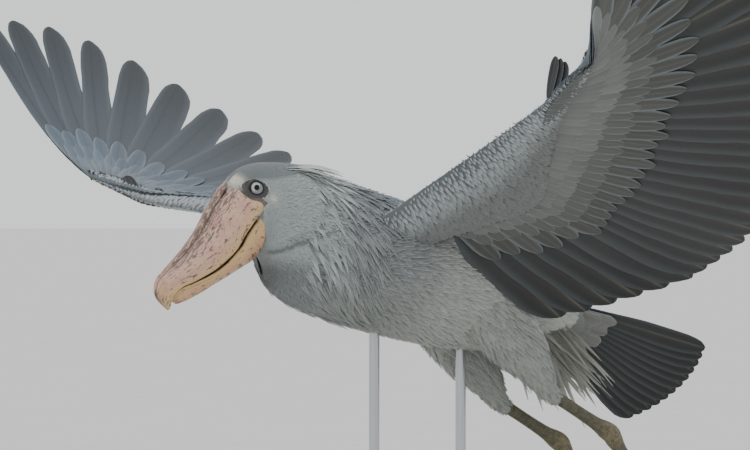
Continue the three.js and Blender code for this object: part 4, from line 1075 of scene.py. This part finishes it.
# Thighs: soft overlapping feathers that end in a ragged cuff over the bare shank
batches = []
for side in (1, -1):
    gap = np.linalg.norm(np.gradient(np.array(THIGH_PLACES), axis=0), axis=-1)
    q, a = staggered(0.2, 4.75, lambda q: 8 / np.interp(q, range(6), gap),
                     lambda q: 2 * math.pi * np.interp(q, range(6), [46, 55, 45, 29, 16, 13]),
                     lambda q: 7.0)
    a = a * 2 * math.pi
    roots = thigh(side, q, a)
    flow = np.tile(unit(TIBIA_START - HIP), (len(q), 1)) + chance.normal(0, 0.07, (len(q), 3))
    length = np.interp(q, [0, 3, 5], [38, 34, 26]) * chance.uniform(0.8, 1.2, len(q))
    length = np.minimum(length, 12 + (4.95 - q) * 40)
    colour = np.broadcast_to(COAT["thigh"], (len(q), 3)) * chance.uniform(0.85, 1.12, len(q))[:, None]
    patch = np.stack([(0.02 if side > 0 else 0.52) + 0.45 * q / 5, 0.02 + 0.95 * (a / (2 * np.pi))], -1)
    batches.append(laid_feathers(
        lambda q, a, out=0.0: thigh(side, q, a, out), q, a, flow, length, np.interp(q, [0, 5], [11, 7]),
        np.full(len(q), -6.5), chance.uniform(-1.5, 1.5, len(q)), colour, patch))
feather_piece("coat_thighs", batches, trunk_coat)


# Bill. A horn sheath over bone: the upper half has a keeled ridge with a groove on each side, slit
# nostrils in the grooves and a hooked nail, the lower half is a deep trough. The horn is pink and
# cream, mottled with dark grey-brown, yellower at its cutting edges, and matt with fine growth lines.
UPPER_BILL = [
    # along, top, bottom, half width
    [-30, 34, -26, 44], [14, 34, -28, 50], [58, 31.5, -29, 53], [100, 23.5, -34, 52],
    [134, 20.5, -29.5, 46], [168, 22, -19, 36], [190, 23, -9, 27], [206, 21.5, -10, 17],
    [218, 14, -17, 9.5], [224, 5, -21, 5], [226, -6, -20, 1.5],
]
LOWER_BILL = [
    [-20, -34, -92, 40], [30, -33, -86, 46], [65, -35, -77, 47], [90, -39, -73, 46],
    [134, -35.5, -57, 39], [168, -22, -45, 29], [192, -11, -36, 19], [208, -13, -27, 9],
    [211, -16, -23, 2],
]
# Half profiles as shares of the half width and of the depth, from the ridge or the mouth's floor down
UPPER_PROFILE = [
    (0, -.01), (.09, -.005), (.16, .012), (.22, .075), (.29, .12), (.4, .145), (.56, .225), (.72, .335),
    (.87, .49), (.965, .66), (.995, .83), (.975, .95), (.93, 1), (.86, .97), (.72, .9), (.4, .83), (0, .8),
]
LOWER_PROFILE = [
    (0, .4), (.45, .33), (.78, .14), (.86, .03), (.92, 0), (.965, .05), (.985, .2), (.95, .42),
    (.84, .62), (.68, .78), (.45, .92), (.22, .985), (0, 1),
]
FOREHEAD = np.array([-36.0, 12.5])
BILL_ROWS, BILL_AROUND = 210, 75
EYE_CLEARANCE, BASE_ROUNDING = 23, 4.5
LINING_BLOTCHES_PER_METRE = 90.0
NOSTRIL_ALONG, NOSTRIL_LONG, NOSTRIL_SHARE, NOSTRIL_TALL, NOSTRIL_DEEP = 33, 10, 0.275, 0.035, 3.2


def bill_half(stations, profile, behind, relief):
    """One half of the bill: rings from its base on a plane behind it to its tip."""
    row = spline(profile, np.linspace(0, len(profile) - 1, BILL_AROUND))
    row = np.concatenate([row, (row * [-1, 1])[-2:0:-1]])
    out, down = row[:, 0], row[:, 1]
    trial = np.linspace(0, len(stations) - 1, 400)

    def at(s):
        along, top, bottom, half = np.moveaxis(spline(stations, s), -1, 0)
        return np.stack([out * half, -along, top - down * (top - bottom)], -1)

    local = at(np.broadcast_to(trial[:, None], (400, len(row)))) @ turn(BILL_DROOP, "X").T
    ahead = np.minimum(behind(local), np.linalg.norm(local[..., 1:], axis=-1) - EYE_CLEARANCE * smooth(
        np.abs(local[..., 0]), 20, 34))
    start = trial[np.minimum(400 - np.argmax((ahead <= -2.5)[::-1], axis=0), 399)]
    share = np.linspace(0, 1, BILL_ROWS)[:, None] ** 0.9
    s = start + (len(stations) - 1 - start) * share
    points = at(s)
    along = -points[..., 1]
    swell = np.gradient(points, axis=1)
    swell = unit(np.stack([swell[..., 2], 0 * along, -swell[..., 0]], -1))
    centre = points.mean(1, keepdims=True)
    swell = swell * np.where(dot(swell, points - centre).sum(1, keepdims=True) < 0, -1, 1)
    rounded = BASE_ROUNDING * (1 - smooth(share, 0, 0.035)) ** 2
    points = points + swell * (relief(along, out, down) - rounded)[..., None]
    return points, along, np.broadcast_to(out, along.shape), np.broadcast_to(down, along.shape)


def from_nostril(along, out):
    """0 at the middle of a nostril and 1 at its rim."""
    aside = (np.abs(out) - NOSTRIL_SHARE) / NOSTRIL_TALL
    return ((along - NOSTRIL_ALONG) / NOSTRIL_LONG) ** 2 + aside ** 2


def horn_relief(along, out, down):
    """Growth waves across the horn, the nail's raised edge, the nostrils and the rolled edge."""
    wave = 0.28 * np.sin(along / 5.1 + 2.2 * down + 0.6 * np.sin(along / 17)) * smooth(along, 120, 20)
    uneven = 0.5 * np.sin(along / 23 + 3 * out) * np.sin(along / 13 - 4.1 * down)
    nail = 1.1 * smooth(along, 186, 196) * smooth(down, 0.75, 0.5)
    lip = 0.7 * np.exp(-((down - 0.93) / 0.06) ** 2) * (np.abs(out) > 0.9)
    slit = from_nostril(along, out)
    top_side = np.abs(down) < 0.3
    nostril = -NOSTRIL_DEEP * smooth(1.25 - slit, 0, 0.7) * top_side
    nostril = nostril + 0.6 * np.exp(-((np.sqrt(slit) - 1.5) / 0.4) ** 2) * top_side
    return wave + uneven + nail + lip + nostril


def trough_relief(along, out, down):
    """Folds of skin across the base of the lower bill and a rolled cutting edge."""
    at_base = smooth(along, 34, 8) * smooth(down, 0.1, 0.3)
    fold = 0.8 * np.sin(along / 2.7 + 1.6 * np.sin(5 * down)) * at_base
    uneven = 0.5 * np.sin(along / 19 + 2.1 * down) * np.cos(along / 11)
    lip = 0.8 * np.exp(-((down - 0.04) / 0.05) ** 2) * (np.abs(out) > 0.88)
    return fold + uneven + lip


def horn_mesh(name, rings, values):
    """A closed half of the bill that carries the run of its grain and shares for its markings."""
    mesh = tube_mesh(name, rings @ bill_turn.T + HEAD_PLACE)
    for title, numbers in values.items():
        store(mesh, title, numbers, vector=numbers.ndim == 3)
    return mesh


def mottled_horn(name, body, warm, fleck, fleck_low, fleck_high):
    """Horn: a mottled ground, flecks drawn out along the bill, and painted shade in its grooves, slits and
    mouth.
    """
    material, tree, surface = finish_material(name, Roughness=0.44, Specular_IOR_Level=0.45,
                                              Subsurface_Weight=0.06, Subsurface_Scale=0.002)
    grain = add(tree, "Attribute", attribute_name="grain").outputs["Vector"]
    edge = add(tree, "Attribute", attribute_name="edge").outputs["Fac"]
    crown = add(tree, "Attribute", attribute_name="crown").outputs["Fac"]
    dark = add(tree, "Attribute", attribute_name="dark").outputs["Fac"]
    cloud = add(tree, "TexNoise", {"Vector": grain, "Scale": 0.045, "Detail": 3.0})
    cloud_share = add(tree, "MapRange", {"Value": cloud.outputs["Fac"], "From Min": 0.38,
                                         "From Max": 0.62})
    pink = add(tree, "Mix", {0: cloud_share.outputs["Result"], 6: linear(body), 7: linear(warm)},
               data_type="RGBA")
    cream = add(tree, "Mix", {0: edge, 6: pink.outputs[2], 7: linear("#c9a877")}, data_type="RGBA")
    drawn = add(tree, "VectorMath", {0: grain, 1: (0.42, 1.0, 1.0)}, operation="MULTIPLY")
    flecks = add(tree, "TexNoise", {"Vector": drawn.outputs["Vector"], "Scale": 0.19, "Detail": 4.0,
                                    "Roughness": 0.62})
    raised = add(tree, "MapRange", {"Value": crown, "To Min": -0.03, "To Max": 0.09})
    above = add(tree, "Math", {0: flecks.outputs["Fac"], 1: raised.outputs["Result"]}, operation="ADD")
    fleck_share = add(tree, "MapRange", {"Value": above.outputs[0], "From Min": fleck_low,
                                         "From Max": fleck_high, "To Max": 0.86},
                      interpolation_type="SMOOTHSTEP")
    finer = add(tree, "TexNoise", {"Vector": drawn.outputs["Vector"], "Scale": 0.55, "Detail": 3.0})
    finer_above = add(tree, "Math", {0: finer.outputs["Fac"], 1: raised.outputs["Result"]},
                      operation="ADD")
    finer_share = add(tree, "MapRange", {"Value": finer_above.outputs[0], "From Min": fleck_low + 0.04,
                                         "From Max": fleck_high + 0.06, "To Max": 0.7})
    both = add(tree, "Math", {0: fleck_share.outputs["Result"], 1: finer_share.outputs["Result"]},
               operation="MAXIMUM")
    mottled = add(tree, "Mix", {0: both.outputs[0], 6: cream.outputs[2], 7: linear(fleck)},
                  data_type="RGBA")
    lines = add(tree, "VectorMath", {0: grain, 1: (0.12, 1.4, 1.0)}, operation="MULTIPLY")
    hair_lines = add(tree, "TexNoise", {"Vector": lines.outputs["Vector"], "Scale": 0.5, "Detail": 3.0})
    line_share = add(tree, "MapRange", {"Value": hair_lines.outputs["Fac"], "From Min": 0.56,
                                        "From Max": 0.74, "To Max": 0.45})
    lined = add(tree, "Mix", {0: line_share.outputs["Result"], 6: mottled.outputs[2],
                              7: linear("#8a6a5c")}, data_type="RGBA")
    # The dark share is painted shade in grooves, slits and the mouth; on the upper bill it also darkens the
    # nail's tip
    grooved = add(tree, "Mix", {0: dark, 6: lined.outputs[2], 7: linear("#2d2523")}, data_type="RGBA")
    tree.links.new(grooved.outputs[2], surface.inputs["Base Color"])
    bump = add(tree, "Bump", {"Height": hair_lines.outputs["Fac"], "Strength": 0.35, "Distance": 0.0007})
    pits = add(tree, "Bump", {"Height": flecks.outputs["Fac"], "Strength": 0.3, "Distance": 0.001,
                              "Normal": bump.outputs["Normal"]})
    tree.links.new(pits.outputs["Normal"], surface.inputs["Normal"])
    return material


def slanting(local):
    """How far points of the head's frame lie ahead of the upper bill's base plane."""
    way = unit(FOREHEAD - GAPE)
    normal = np.array([-way[1], way[0]])
    normal = normal if normal[0] < 0 else -normal
    return (local[..., 1:] - GAPE) @ normal


rings, along, out, down = bill_half(UPPER_BILL, UPPER_PROFILE, slanting, horn_relief)
groove = np.exp(-((np.abs(out) - 0.25) / 0.035) ** 2) * (np.abs(down) < 0.3) * smooth(along, 2, 30)
slit = from_nostril(along, out)
inside = (np.abs(out) < 0.9) * (down > 0.78)
mesh = horn_mesh("upper_bill", rings, {
    "grain": np.stack([along, np.abs(out) * 50 + down * 40, np.sign(out) * 200.0], -1),
    "edge": 0.85 * smooth(down, 0.62, 0.95) + 0.7 * smooth(along, 192, 214) * smooth(down, 0.1, 0.3),
    "crown": smooth(down, 0.55, 0.05) * smooth(along, 215, 150) + 0.5 * smooth(along, 205, 222),
    # dark: painted shade in the grooves, the nostril slits and inside the mouth, and a darker tip to the
    # nail
    "dark": np.clip(0.75 * groove + 0.95 * smooth(1.3 - slit, 0, 0.6) * (np.abs(down) < 0.3)
                    + 0.9 * inside + 0.55 * smooth(along, 214, 226) * smooth(down, 0.5, 0.1), 0, 1)})
show("upper_bill", mesh, mottled_horn("upper_bill_horn", "#bf9484", "#c2a18a", "#4a3c39", 0.525, 0.6),
     ["bill_upper"])

rings, along, out, down = bill_half(LOWER_BILL, LOWER_PROFILE, lambda p: GAPE[0] - p[..., 1],
                                    trough_relief)
inside = (np.abs(out) < 0.88) * (down < 0.35)
mesh = horn_mesh("lower_bill", rings, {
    "grain": np.stack([along, np.abs(out) * 45 + down * 42 + 300, np.sign(out) * 200.0], -1),
    "edge": 0.8 * smooth(down, 0.45, 0.05) + 0.35,
    "crown": 0.75 * smooth(down, 0.35, 0.9) + 0.3 * smooth(along, 60, 10),
    # dark: painted shade inside the trough and in a faint line just below the cutting edge
    "dark": np.clip(0.92 * inside + 0.3 * np.exp(-((down - 0.22) / 0.05) ** 2)
                    * smooth(along, 80, 170), 0, 1)})
show("lower_bill", mesh, mottled_horn("lower_bill_horn", "#be8c76", "#c4a276", "#5c423b", 0.56, 0.63),
     ["bill_lower"])

# The mouth's lining closes the slit from inside: moist, and painted almost black as the shade inside the
# mouth
shaded_lining = two_tone("mouth_lining_painted_shade", LINING_BLOTCHES_PER_METRE, "#1c0f0c", "#3a211b",
                      Roughness=0.3)[0]
upper_at = np.array(UPPER_BILL)
lower_at = np.array(LOWER_BILL)
rings = []
for along in np.linspace(-6, 203, 60):
    _, _, roof, half = (np.interp(along, upper_at[:, 0], upper_at[:, c]) for c in range(4))
    floor_top, low_half = (np.interp(along, lower_at[:, 0], lower_at[:, c]) for c in (1, 3))
    a = np.arange(40) * 2 * np.pi / 40
    wide = min(half, low_half) * 0.9
    rise = (roof + floor_top) / 2 + (5 + 0.22 * wide) * np.sin(a)
    rings.append(np.stack([wide * np.cos(a), np.full(40, -along), rise], -1))
show("mouth_lining", tube_mesh("mouth_lining", np.array(rings) @ bill_turn.T + HEAD_PLACE), shaded_lining)


# Eyes and bare skin of the face. Each eye is a pale silvery iris round a black pupil, under a clear
# wet cornea, inside a round dark lid. Grey scaly skin with fine folds surrounds the lids.
EYE_SIDE, EYEBALL, IRIS, PUPIL = 30, 12.5, 9.0, 4.4
LID_OPENING, LID_THICKNESS, SKIN_CELLS_PER_METRE = 9.1, 1.2, 620.0
PATCH_REACH = [(0, 21), (90, 15), (180, 28), (225, 31), (270, 31), (305, 31), (335, 22), (360, 21)]
# A wet eye: one sharp highlight over fine threads from the pupil to the rim of a silvery iris
wet_eye, tree, surface = finish_material("wet_eye", Roughness=0.1, Specular_IOR_Level=0.28)
radius = add(tree, "Attribute", attribute_name="radius").outputs["Fac"]
fibre = add(tree, "Attribute", attribute_name="fibre").outputs["Fac"]
threads = add(tree, "TexNoise", {"W": fibre, "Scale": 9.0, "Detail": 3.0}, noise_dimensions="1D")
thread_share = add(tree, "MapRange", {"Value": threads.outputs["Fac"], "From Min": 0.3, "From Max": 0.7})
iris = add(tree, "Mix", {0: thread_share.outputs["Result"], 6: linear("#999c9b"), 7: linear("#c4c7c3")},
           data_type="RGBA")
rim = add(tree, "MapRange", {"Value": radius, "From Min": IRIS - 1.5, "From Max": IRIS - 0.2},
          interpolation_type="SMOOTHSTEP")
rimmed = add(tree, "Mix", {0: rim.outputs["Result"], 6: iris.outputs[2], 7: linear("#2f3132")},
             data_type="RGBA")
pupil = add(tree, "MapRange", {"Value": radius, "From Min": PUPIL - 0.15, "From Max": PUPIL + 0.25})
seen = add(tree, "Mix", {0: pupil.outputs["Result"], 6: linear("#010201"), 7: rimmed.outputs[2]},
           data_type="RGBA")
tree.links.new(seen.outputs[2], surface.inputs["Base Color"])

# Bare skin: matt, with scales under two millimetres wide between dark cracks
bare_skin, tree, surface = finish_material("bare_scaly_skin", Roughness=0.7, Specular_IOR_Level=0.25)
shade = add(tree, "Attribute", attribute_name="Plumage")
place = add(tree, "TexCoord")
cells = add(tree, "TexVoronoi", {"Vector": place.outputs["Object"], "Scale": SKIN_CELLS_PER_METRE},
            feature="DISTANCE_TO_EDGE")
crack = add(tree, "MapRange", {"Value": cells.outputs["Distance"], "From Max": 0.14})
scaly = add(tree, "Mix", {0: crack.outputs["Result"], 6: linear("#3b3a3b"), 7: shade.outputs["Color"]},
            data_type="RGBA")
tree.links.new(scaly.outputs[2], surface.inputs["Base Color"])
bump = add(tree, "Bump", {"Height": crack.outputs["Result"], "Strength": 0.6, "Distance": 0.0006})
tree.links.new(bump.outputs["Normal"], surface.inputs["Normal"])

SKIN_TONES = tones({"lid": "#141516", "bare": "#514f4e", "fore": "#6b645e", "under": "#8a7e76"})


def ring_solid(name, grid):
    """A closed solid whose rings run out over a surface and back beneath it."""
    rows, around = grid.shape[:2]
    k, j = np.meshgrid(np.arange(rows), np.arange(around), indexing="ij")
    corner = lambda a, b: (a % rows) * around + b % around
    quads = np.stack([corner(k, j), corner(k, j + 1), corner(k + 1, j + 1), corner(k + 1, j)], -1)
    points = grid.reshape(-1, 3)
    return make_mesh(name, points, outwards(points - points.mean(0), [quads.reshape(-1, 4)]))


for side, word in ((1, "left"), (-1, "right")):
    polar = np.radians(np.concatenate([np.linspace(0.6, 55, 70), np.linspace(60, 178, 26)]))[:, None]
    a = np.arange(96) * 2 * np.pi / 96
    ball = np.stack([side * (EYE_SIDE + EYEBALL * np.cos(polar) + 0 * a),
                     EYEBALL * np.sin(polar) * np.cos(a), EYEBALL * np.sin(polar) * np.sin(a)], -1)
    mesh = tube_mesh(f"eye_{word}", ball @ head_turn.T + HEAD_PLACE)
    store(mesh, "radius", EYEBALL * np.sin(polar) + 0 * a)
    store(mesh, "fibre", np.cos(a) * 4 + np.sin(a) * 2.7 + 0 * polar)
    show(f"eye_{word}", mesh, wet_eye, [f"eye_{word}"])

    # Lids and the skin round them follow the eyeball, then the face
    degrees, reaches = zip(*PATCH_REACH)
    edge = np.interp(np.degrees(a), degrees, reaches)
    w = np.linspace(0, 1, 44)[:, None]
    r = LID_OPENING + (edge - LID_OPENING) * w ** 1.25
    back, up = r * np.cos(a), r * np.sin(a)
    face = np.full(r.shape, np.nan)
    way = Vector(head_turn @ [-side, 0, 0])
    for k, j in np.ndindex(*r.shape):
        start = head_turn @ np.array([side * 90, back[k, j], up[k, j]]) + HEAD_PLACE
        hit = skin_tree.ray_cast(Vector(start), way)[0]
        if hit is not None:
            face[k, j] = side * on_head(np.array(hit))[0]
        elif k:
            face[k, j] = face[k - 1, j] - 0.6
    lid = EYE_SIDE + np.sqrt(np.maximum((EYEBALL + LID_THICKNESS) ** 2 - r ** 2, 4))
    height = lid + (face + 0.9 - lid) * smooth(r, 11.5, 17.5)
    height = np.maximum(height, face + 0.5)
    height = height + 0.75 * np.exp(-((r - 10.3) / 0.8) ** 2)
    height = height + 0.28 * np.sin(2 * np.pi * (r - 10.2) / 1.9) * np.exp(-((r - 13.6) / 2.4) ** 2)
    height = height + 0.22 * np.sin(11 * a + 0.7 * r) * smooth(r, 13, 19)
    seat = EYE_SIDE + math.sqrt(EYEBALL ** 2 - LID_OPENING ** 2) - 0.15
    height = seat + (height - seat) * smooth(w, -0.012, 0.045)
    height = height - 3.5 * smooth(w, 0.9, 1)
    top = np.stack([side * height, back, up], -1)
    beneath = np.stack([side * (height - 2.5), back, up], -1)[::-1]
    patch_mesh = ring_solid(f"lids_{word}", np.concatenate([top, beneath]) @ head_turn.T + HEAD_PLACE)
    colour = blend(np.broadcast_to(SKIN_TONES["bare"], r.shape + (3,)), SKIN_TONES["fore"],
                   smooth(-back, 12, 24))
    colour = blend(colour, SKIN_TONES["under"], smooth(-up, 13, 20) * 0.7)
    colour = blend(colour, SKIN_TONES["lid"], smooth(r, 12.6, 10.8))
    set_colours(patch_mesh, np.concatenate([colour, colour[::-1]]))
    show(f"lids_{word}", patch_mesh, bare_skin)


# Legs and feet. The bare shank, the heel joint and the long tarsus are covered with small horny
# plates, the toes with wider ones across their tops. The skin is dark olive brown, worn pale at the
# joints. Each of the four long toes ends in a separate dark curved claw.
LEG_TONES = tones({"shank": "#5f5c48", "joint": "#8a7f60", "tarsus": "#45423a", "toe": "#403e37"})
TARSUS_LENGTH, TARSUS_DROP = 240, 38
tarsus_along = np.array([0, math.cos(math.radians(TARSUS_DROP)), -math.sin(math.radians(TARSUS_DROP))])
sole = np.array([0, math.sin(math.radians(TARSUS_DROP)), math.cos(math.radians(TARSUS_DROP))])
SHANK = np.linalg.norm(ANKLE - TIBIA_START)
LEG_LINE = [
    # place along the leg, radius across and radius fore and aft
    (TIBIA_START - shank_along * 14, 10, 11), (TIBIA_START + shank_along * 0.3 * SHANK, 9, 9.5),
    (TIBIA_START + shank_along * 0.72 * SHANK, 10, 10.5), (ANKLE - shank_along * 12, 13, 14.5),
    (ANKLE + (tarsus_along + shank_along) * 1.0, 13.6, 15.4), (ANKLE + tarsus_along * 14, 12.8, 14),
    (ANKLE + tarsus_along * 40, 9.6, 9.8), (ANKLE + tarsus_along * 120, 8.4, 8.8),
    (ANKLE + tarsus_along * 206, 9, 9), (ANKLE + tarsus_along * 232, 13, 11.5),
    (ANKLE + tarsus_along * 242, 12, 10), (ANKLE + tarsus_along * 250, 5, 4),
]
TOES = [(175, 2, 24, 8.0), (147, 19, 28, 7.5), (143.5, -16, 28, 7.5), (91, -4, 78, 7.0)]
TOE_STOPS, TOE_SIZES = [0, .14, .4, .66, .84, .9, .93], [1.15, 1, .86, .78, .72, .5, .2]
PLATE, TOE_PLATE, PLATE_RELIEF = 4.2, 5.0, 0.5
WEAR_PER_METRE, CLAW_TONES_PER_METRE = 160.0, 300.0


def plates(length, perimeter, size):
    """Relief and grooves of rounded plates in staggered rows: 1 on a plate, 0 between plates."""
    around = np.maximum(np.round(perimeter / size), 5)
    row = length / (size * 0.87)
    best, second = np.full(length.shape, 9.0), np.full(length.shape, 9.0)
    angle = np.broadcast_to(np.linspace(0, 1, length.shape[1], endpoint=False), length.shape)
    for step in (-1, 0, 1):
        r = np.round(row) + step
        offset = 0.5 * (r % 2)
        c = np.round(angle * around - offset)
        for move in (-1, 0, 1):
            dx = angle * around - offset - c - move
            gap = np.hypot(dx, (row - r) * 0.87)
            best, second = np.minimum(best, gap), np.where(gap < best, best, np.minimum(second, gap))
    return smooth(second - best, 0.0, 0.32)


def limb(line, radii, around, rows):
    """Rings round a bent line, with the lengths and girths that plates are laid out on."""
    s = np.linspace(0, len(line) - 1, rows)
    place, size = spline(line, s), spline(radii, s)
    along = unit(np.gradient(place, axis=0))
    across = unit(np.array([1.0, 0, 0]) - along * along[:, :1])
    up = np.cross(across, along)
    a = np.arange(around) * 2 * np.pi / around
    way = across[:, None] * np.cos(a)[:, None] + up[:, None] * np.sin(a)[:, None]
    ring = across[:, None] * (size[:, :1] * np.cos(a))[..., None]
    ring = ring + up[:, None] * (size[:, 1:] * np.sin(a))[..., None]
    length = np.concatenate([[0], np.cumsum(np.linalg.norm(np.diff(place, axis=0), axis=1))])
    girth_here = np.pi * size.sum(1)
    shape = (rows, around)
    return (place[:, None] + ring, way, np.broadcast_to(length[:, None], shape),
            np.broadcast_to(girth_here[:, None], shape), np.broadcast_to(a, shape))


# Horny leg skin: a soft gloss, worn darker in patches of some millimetres
scaly_leg, tree, surface = finish_material("scaly_leg_skin", Roughness=0.55, Specular_IOR_Level=0.4)
shade = add(tree, "Attribute", attribute_name="Plumage")
place = add(tree, "TexCoord")
worn = add(tree, "TexNoise", {"Vector": place.outputs["Object"], "Scale": WEAR_PER_METRE,
                              "Detail": 4.0})
worn_share = add(tree, "MapRange", {"Value": worn.outputs["Fac"], "From Min": 0.42, "From Max": 0.62,
                                    "To Max": 0.45})
mixed = add(tree, "Mix", {0: worn_share.outputs["Result"], 6: shade.outputs["Color"],
                          7: linear("#2c2a24")}, data_type="RGBA")
tree.links.new(mixed.outputs[2], surface.inputs["Base Color"])
bump = add(tree, "Bump", {"Height": worn.outputs["Fac"], "Strength": 0.3, "Distance": 0.0005})
tree.links.new(bump.outputs["Normal"], surface.inputs["Normal"])

# Claw horn: dark and half glossy, in two tones a few millimetres across
dark_claw = two_tone("dark_claw_horn", CLAW_TONES_PER_METRE, "#16130f", "#3b342b", Roughness=0.35)[0]


def toe_line(length, spread, curl, stops):
    place, before, line = ANKLE + tarsus_along * (TARSUS_LENGTH - 6), 0.0, []
    fine = np.linspace(0, 1, 101)
    for u in fine:
        bend = math.radians(curl * (0.35 + 0.9 * u))
        way = tarsus_along * math.cos(bend) + sole * math.sin(bend)
        way = way * math.cos(math.radians(spread)) + np.array([math.sin(math.radians(spread)), 0, 0])
        place = place + way * (u - before) * length
        before = u
        line.append(place)
    line = np.array(line)
    return np.stack([np.interp(stops, fine, line[:, c]) for c in range(3)], -1)


for side, word in ((1, "left"), (-1, "right")):
    parts_done, tones, count, all_faces = [], [], 0, []
    line = [row[0] for row in LEG_LINE]
    radii = [row[1:] for row in LEG_LINE]
    limbs = [(limb(line, radii, 60, 430), PLATE, None)]
    for length, spread, curl, radius in TOES:
        steps = np.linspace(0, 0.93, 12)
        sizes = radius * np.interp(steps, TOE_STOPS, TOE_SIZES)
        limbs.append((limb(toe_line(length, spread, curl, steps), np.stack([sizes, sizes * 0.92], -1),
                           36, 150), TOE_PLATE, length))
    for (ring, way, length, perimeter, angle), size, toe_length in limbs:
        field = plates(length, perimeter, size)
        if toe_length is not None:
            bands = smooth(np.abs((length / TOE_PLATE) % 1 - 0.5), 0.5, 0.36)
            field = np.where(np.sin(angle) < 0.25, bands, field)
        ring = ring + way * (PLATE_RELIEF * (field - 1))[..., None]
        faces = outwards(ring.reshape(-1, 3) - ring.reshape(-1, 3).mean(0), tube_faces(*ring.shape[:2]))
        all_faces += [f + count for f in faces]
        count += ring.shape[0] * ring.shape[1]
        parts_done.append(ring.reshape(-1, 3))
        if toe_length is None:
            where = length / length.max()
            heel = np.exp(-((length - SHANK - 14) / 26) ** 2)
            tone = blend(np.broadcast_to(LEG_TONES["shank"], length.shape + (3,)), LEG_TONES["tarsus"],
                         smooth(where, 0.38, 0.55))
            tone = blend(tone, LEG_TONES["joint"], 0.75 * heel)
        else:
            tone = np.broadcast_to(LEG_TONES["toe"], length.shape + (3,))
        tones.append((tone * (0.45 + 0.55 * field)[..., None]).reshape(-1, 3))
    leg_mesh = make_mesh(f"leg_{word}", np.concatenate(parts_done) * [side, 1, 1],
                         all_faces if side > 0 else [f[:, ::-1] for f in all_faces])
    set_colours(leg_mesh, np.concatenate(tones))
    show(f"leg_{word}", leg_mesh, scaly_leg,
         [f"shank_{word}", f"tarsus_{word}", f"foot_{word}"])
    for number, (length, spread, curl, radius) in enumerate(TOES, 1):
        steps = np.linspace(0.87, 1, 16)
        sizes = radius * np.interp(steps, [0.87, 0.9, 0.95, 0.985, 1], [0.5, 0.56, 0.36, 0.14, 0.03])
        claw = limb(toe_line(length, spread, curl, steps), np.stack([sizes * 0.8, sizes], -1), 24, 48)[0]
        show(f"claw_{word}_{number}", tube_mesh(f"claw_{word}_{number}", claw * [side, 1, 1]), dark_claw)


# Stand. A heavy flat base with round corners and softened edges, painted a quiet grey, and two plain
# brushed steel rods that stand in it and hold the bird under the belly.
BASE_WIDTH, BASE_LENGTH, BASE_HEIGHT, BASE_CORNER, BASE_EDGE = 520, 620, 22, 60, 3
ROD_RADIUS, ROD_BACKS, ROD_SINK = 8, (-85, 85), 3
SPRAY_GRAINS_PER_METRE, BRUSH_MARKS_PER_METRE = 900.0, (900, 900, 25)


def in_room(points):
    """Points of the room, in millimetres, in the bird's frame."""
    return (np.asarray(points, float) - SHOULDERS) @ attitude


corners = []
for turn_start, x, y in ((0, 1, 1), (90, -1, 1), (180, -1, -1), (270, 1, -1)):
    a = np.radians(turn_start + np.linspace(0, 90, 25))
    centre = np.array([x * (BASE_WIDTH / 2 - BASE_CORNER), y * (BASE_LENGTH / 2 - BASE_CORNER)])
    corners.append(np.stack([np.cos(a), np.sin(a), centre[0] + 0 * a, centre[1] + 0 * a], -1))
corners = np.concatenate(corners)
rings = []
for inset, height in [(BASE_EDGE * (1 - math.sin(t)), BASE_EDGE * (1 - math.cos(t)))
                      for t in np.linspace(0, math.pi / 2, 7)]:
    rings.append((inset, height))
rings += [(inset, BASE_HEIGHT - height) for inset, height in rings[::-1]]
rings = np.array([np.concatenate([corners[:, :2] * (BASE_CORNER - inset) + corners[:, 2:],
                                  np.full((len(corners), 1), height)], 1) for inset, height in rings])
base_mesh = tube_mesh("stand_base", in_room(rings))
base_mesh.set_sharp_from_angle(angle=math.radians(40))
# Sprayed satin paint: a grain of about a millimetre, barely glossy
base_paint, tree, surface, spray = two_tone("stand_paint", SPRAY_GRAINS_PER_METRE, "#8e9191",
                                            "#a0a3a2", Roughness=0.55)
bump = add(tree, "Bump", {"Height": spray.outputs["Fac"], "Strength": 0.15, "Distance": 0.0003})
tree.links.new(bump.outputs["Normal"], surface.inputs["Normal"])
show("stand_base", base_mesh, base_paint, ["stand_base"])

# Brushed steel: fine marks along the rod draw its reflections out
rod_steel, tree, surface = finish_material("brushed_rod_steel", Metallic=1.0)
place = add(tree, "TexCoord")
stretch = add(tree, "VectorMath", {0: place.outputs["Object"], 1: BRUSH_MARKS_PER_METRE},
              operation="MULTIPLY")
brush = add(tree, "TexNoise", {"Vector": stretch.outputs["Vector"], "Scale": 1.0, "Detail": 2.0})
rough = add(tree, "MapRange", {"Value": brush.outputs["Fac"], "To Min": 0.28, "To Max": 0.42})
tone = add(tree, "Mix", {0: brush.outputs["Fac"], 6: linear("#a9acae"), 7: linear("#bfc2c3")},
           data_type="RGBA")
tree.links.new(rough.outputs["Result"], surface.inputs["Roughness"])
tree.links.new(tone.outputs[2], surface.inputs["Base Color"])
for back, word in zip(ROD_BACKS, ("front", "back")):
    a = np.arange(48) * 2 * np.pi / 48
    start = Vector(in_room([0, back, BASE_HEIGHT]))
    up_way = Vector(np.array([0, 0, 1.0]) @ attitude)
    hit = skin_tree.ray_cast(start, up_way)[3]
    heights = [BASE_HEIGHT - 1.0, BASE_HEIGHT + 1.0, BASE_HEIGHT + hit / 2, BASE_HEIGHT + hit + ROD_SINK]
    rings = [np.stack([ROD_RADIUS * np.cos(a), back + ROD_RADIUS * np.sin(a), np.full(48, h)], -1)
             for h in heights]
    rod = tube_mesh(f"stand_rod_{word}", in_room(np.array(rings)))
    rod.set_sharp_from_angle(angle=math.radians(40))
    show(f"stand_rod_{word}", rod, rod_steel, [f"stand_rod_{word}"])
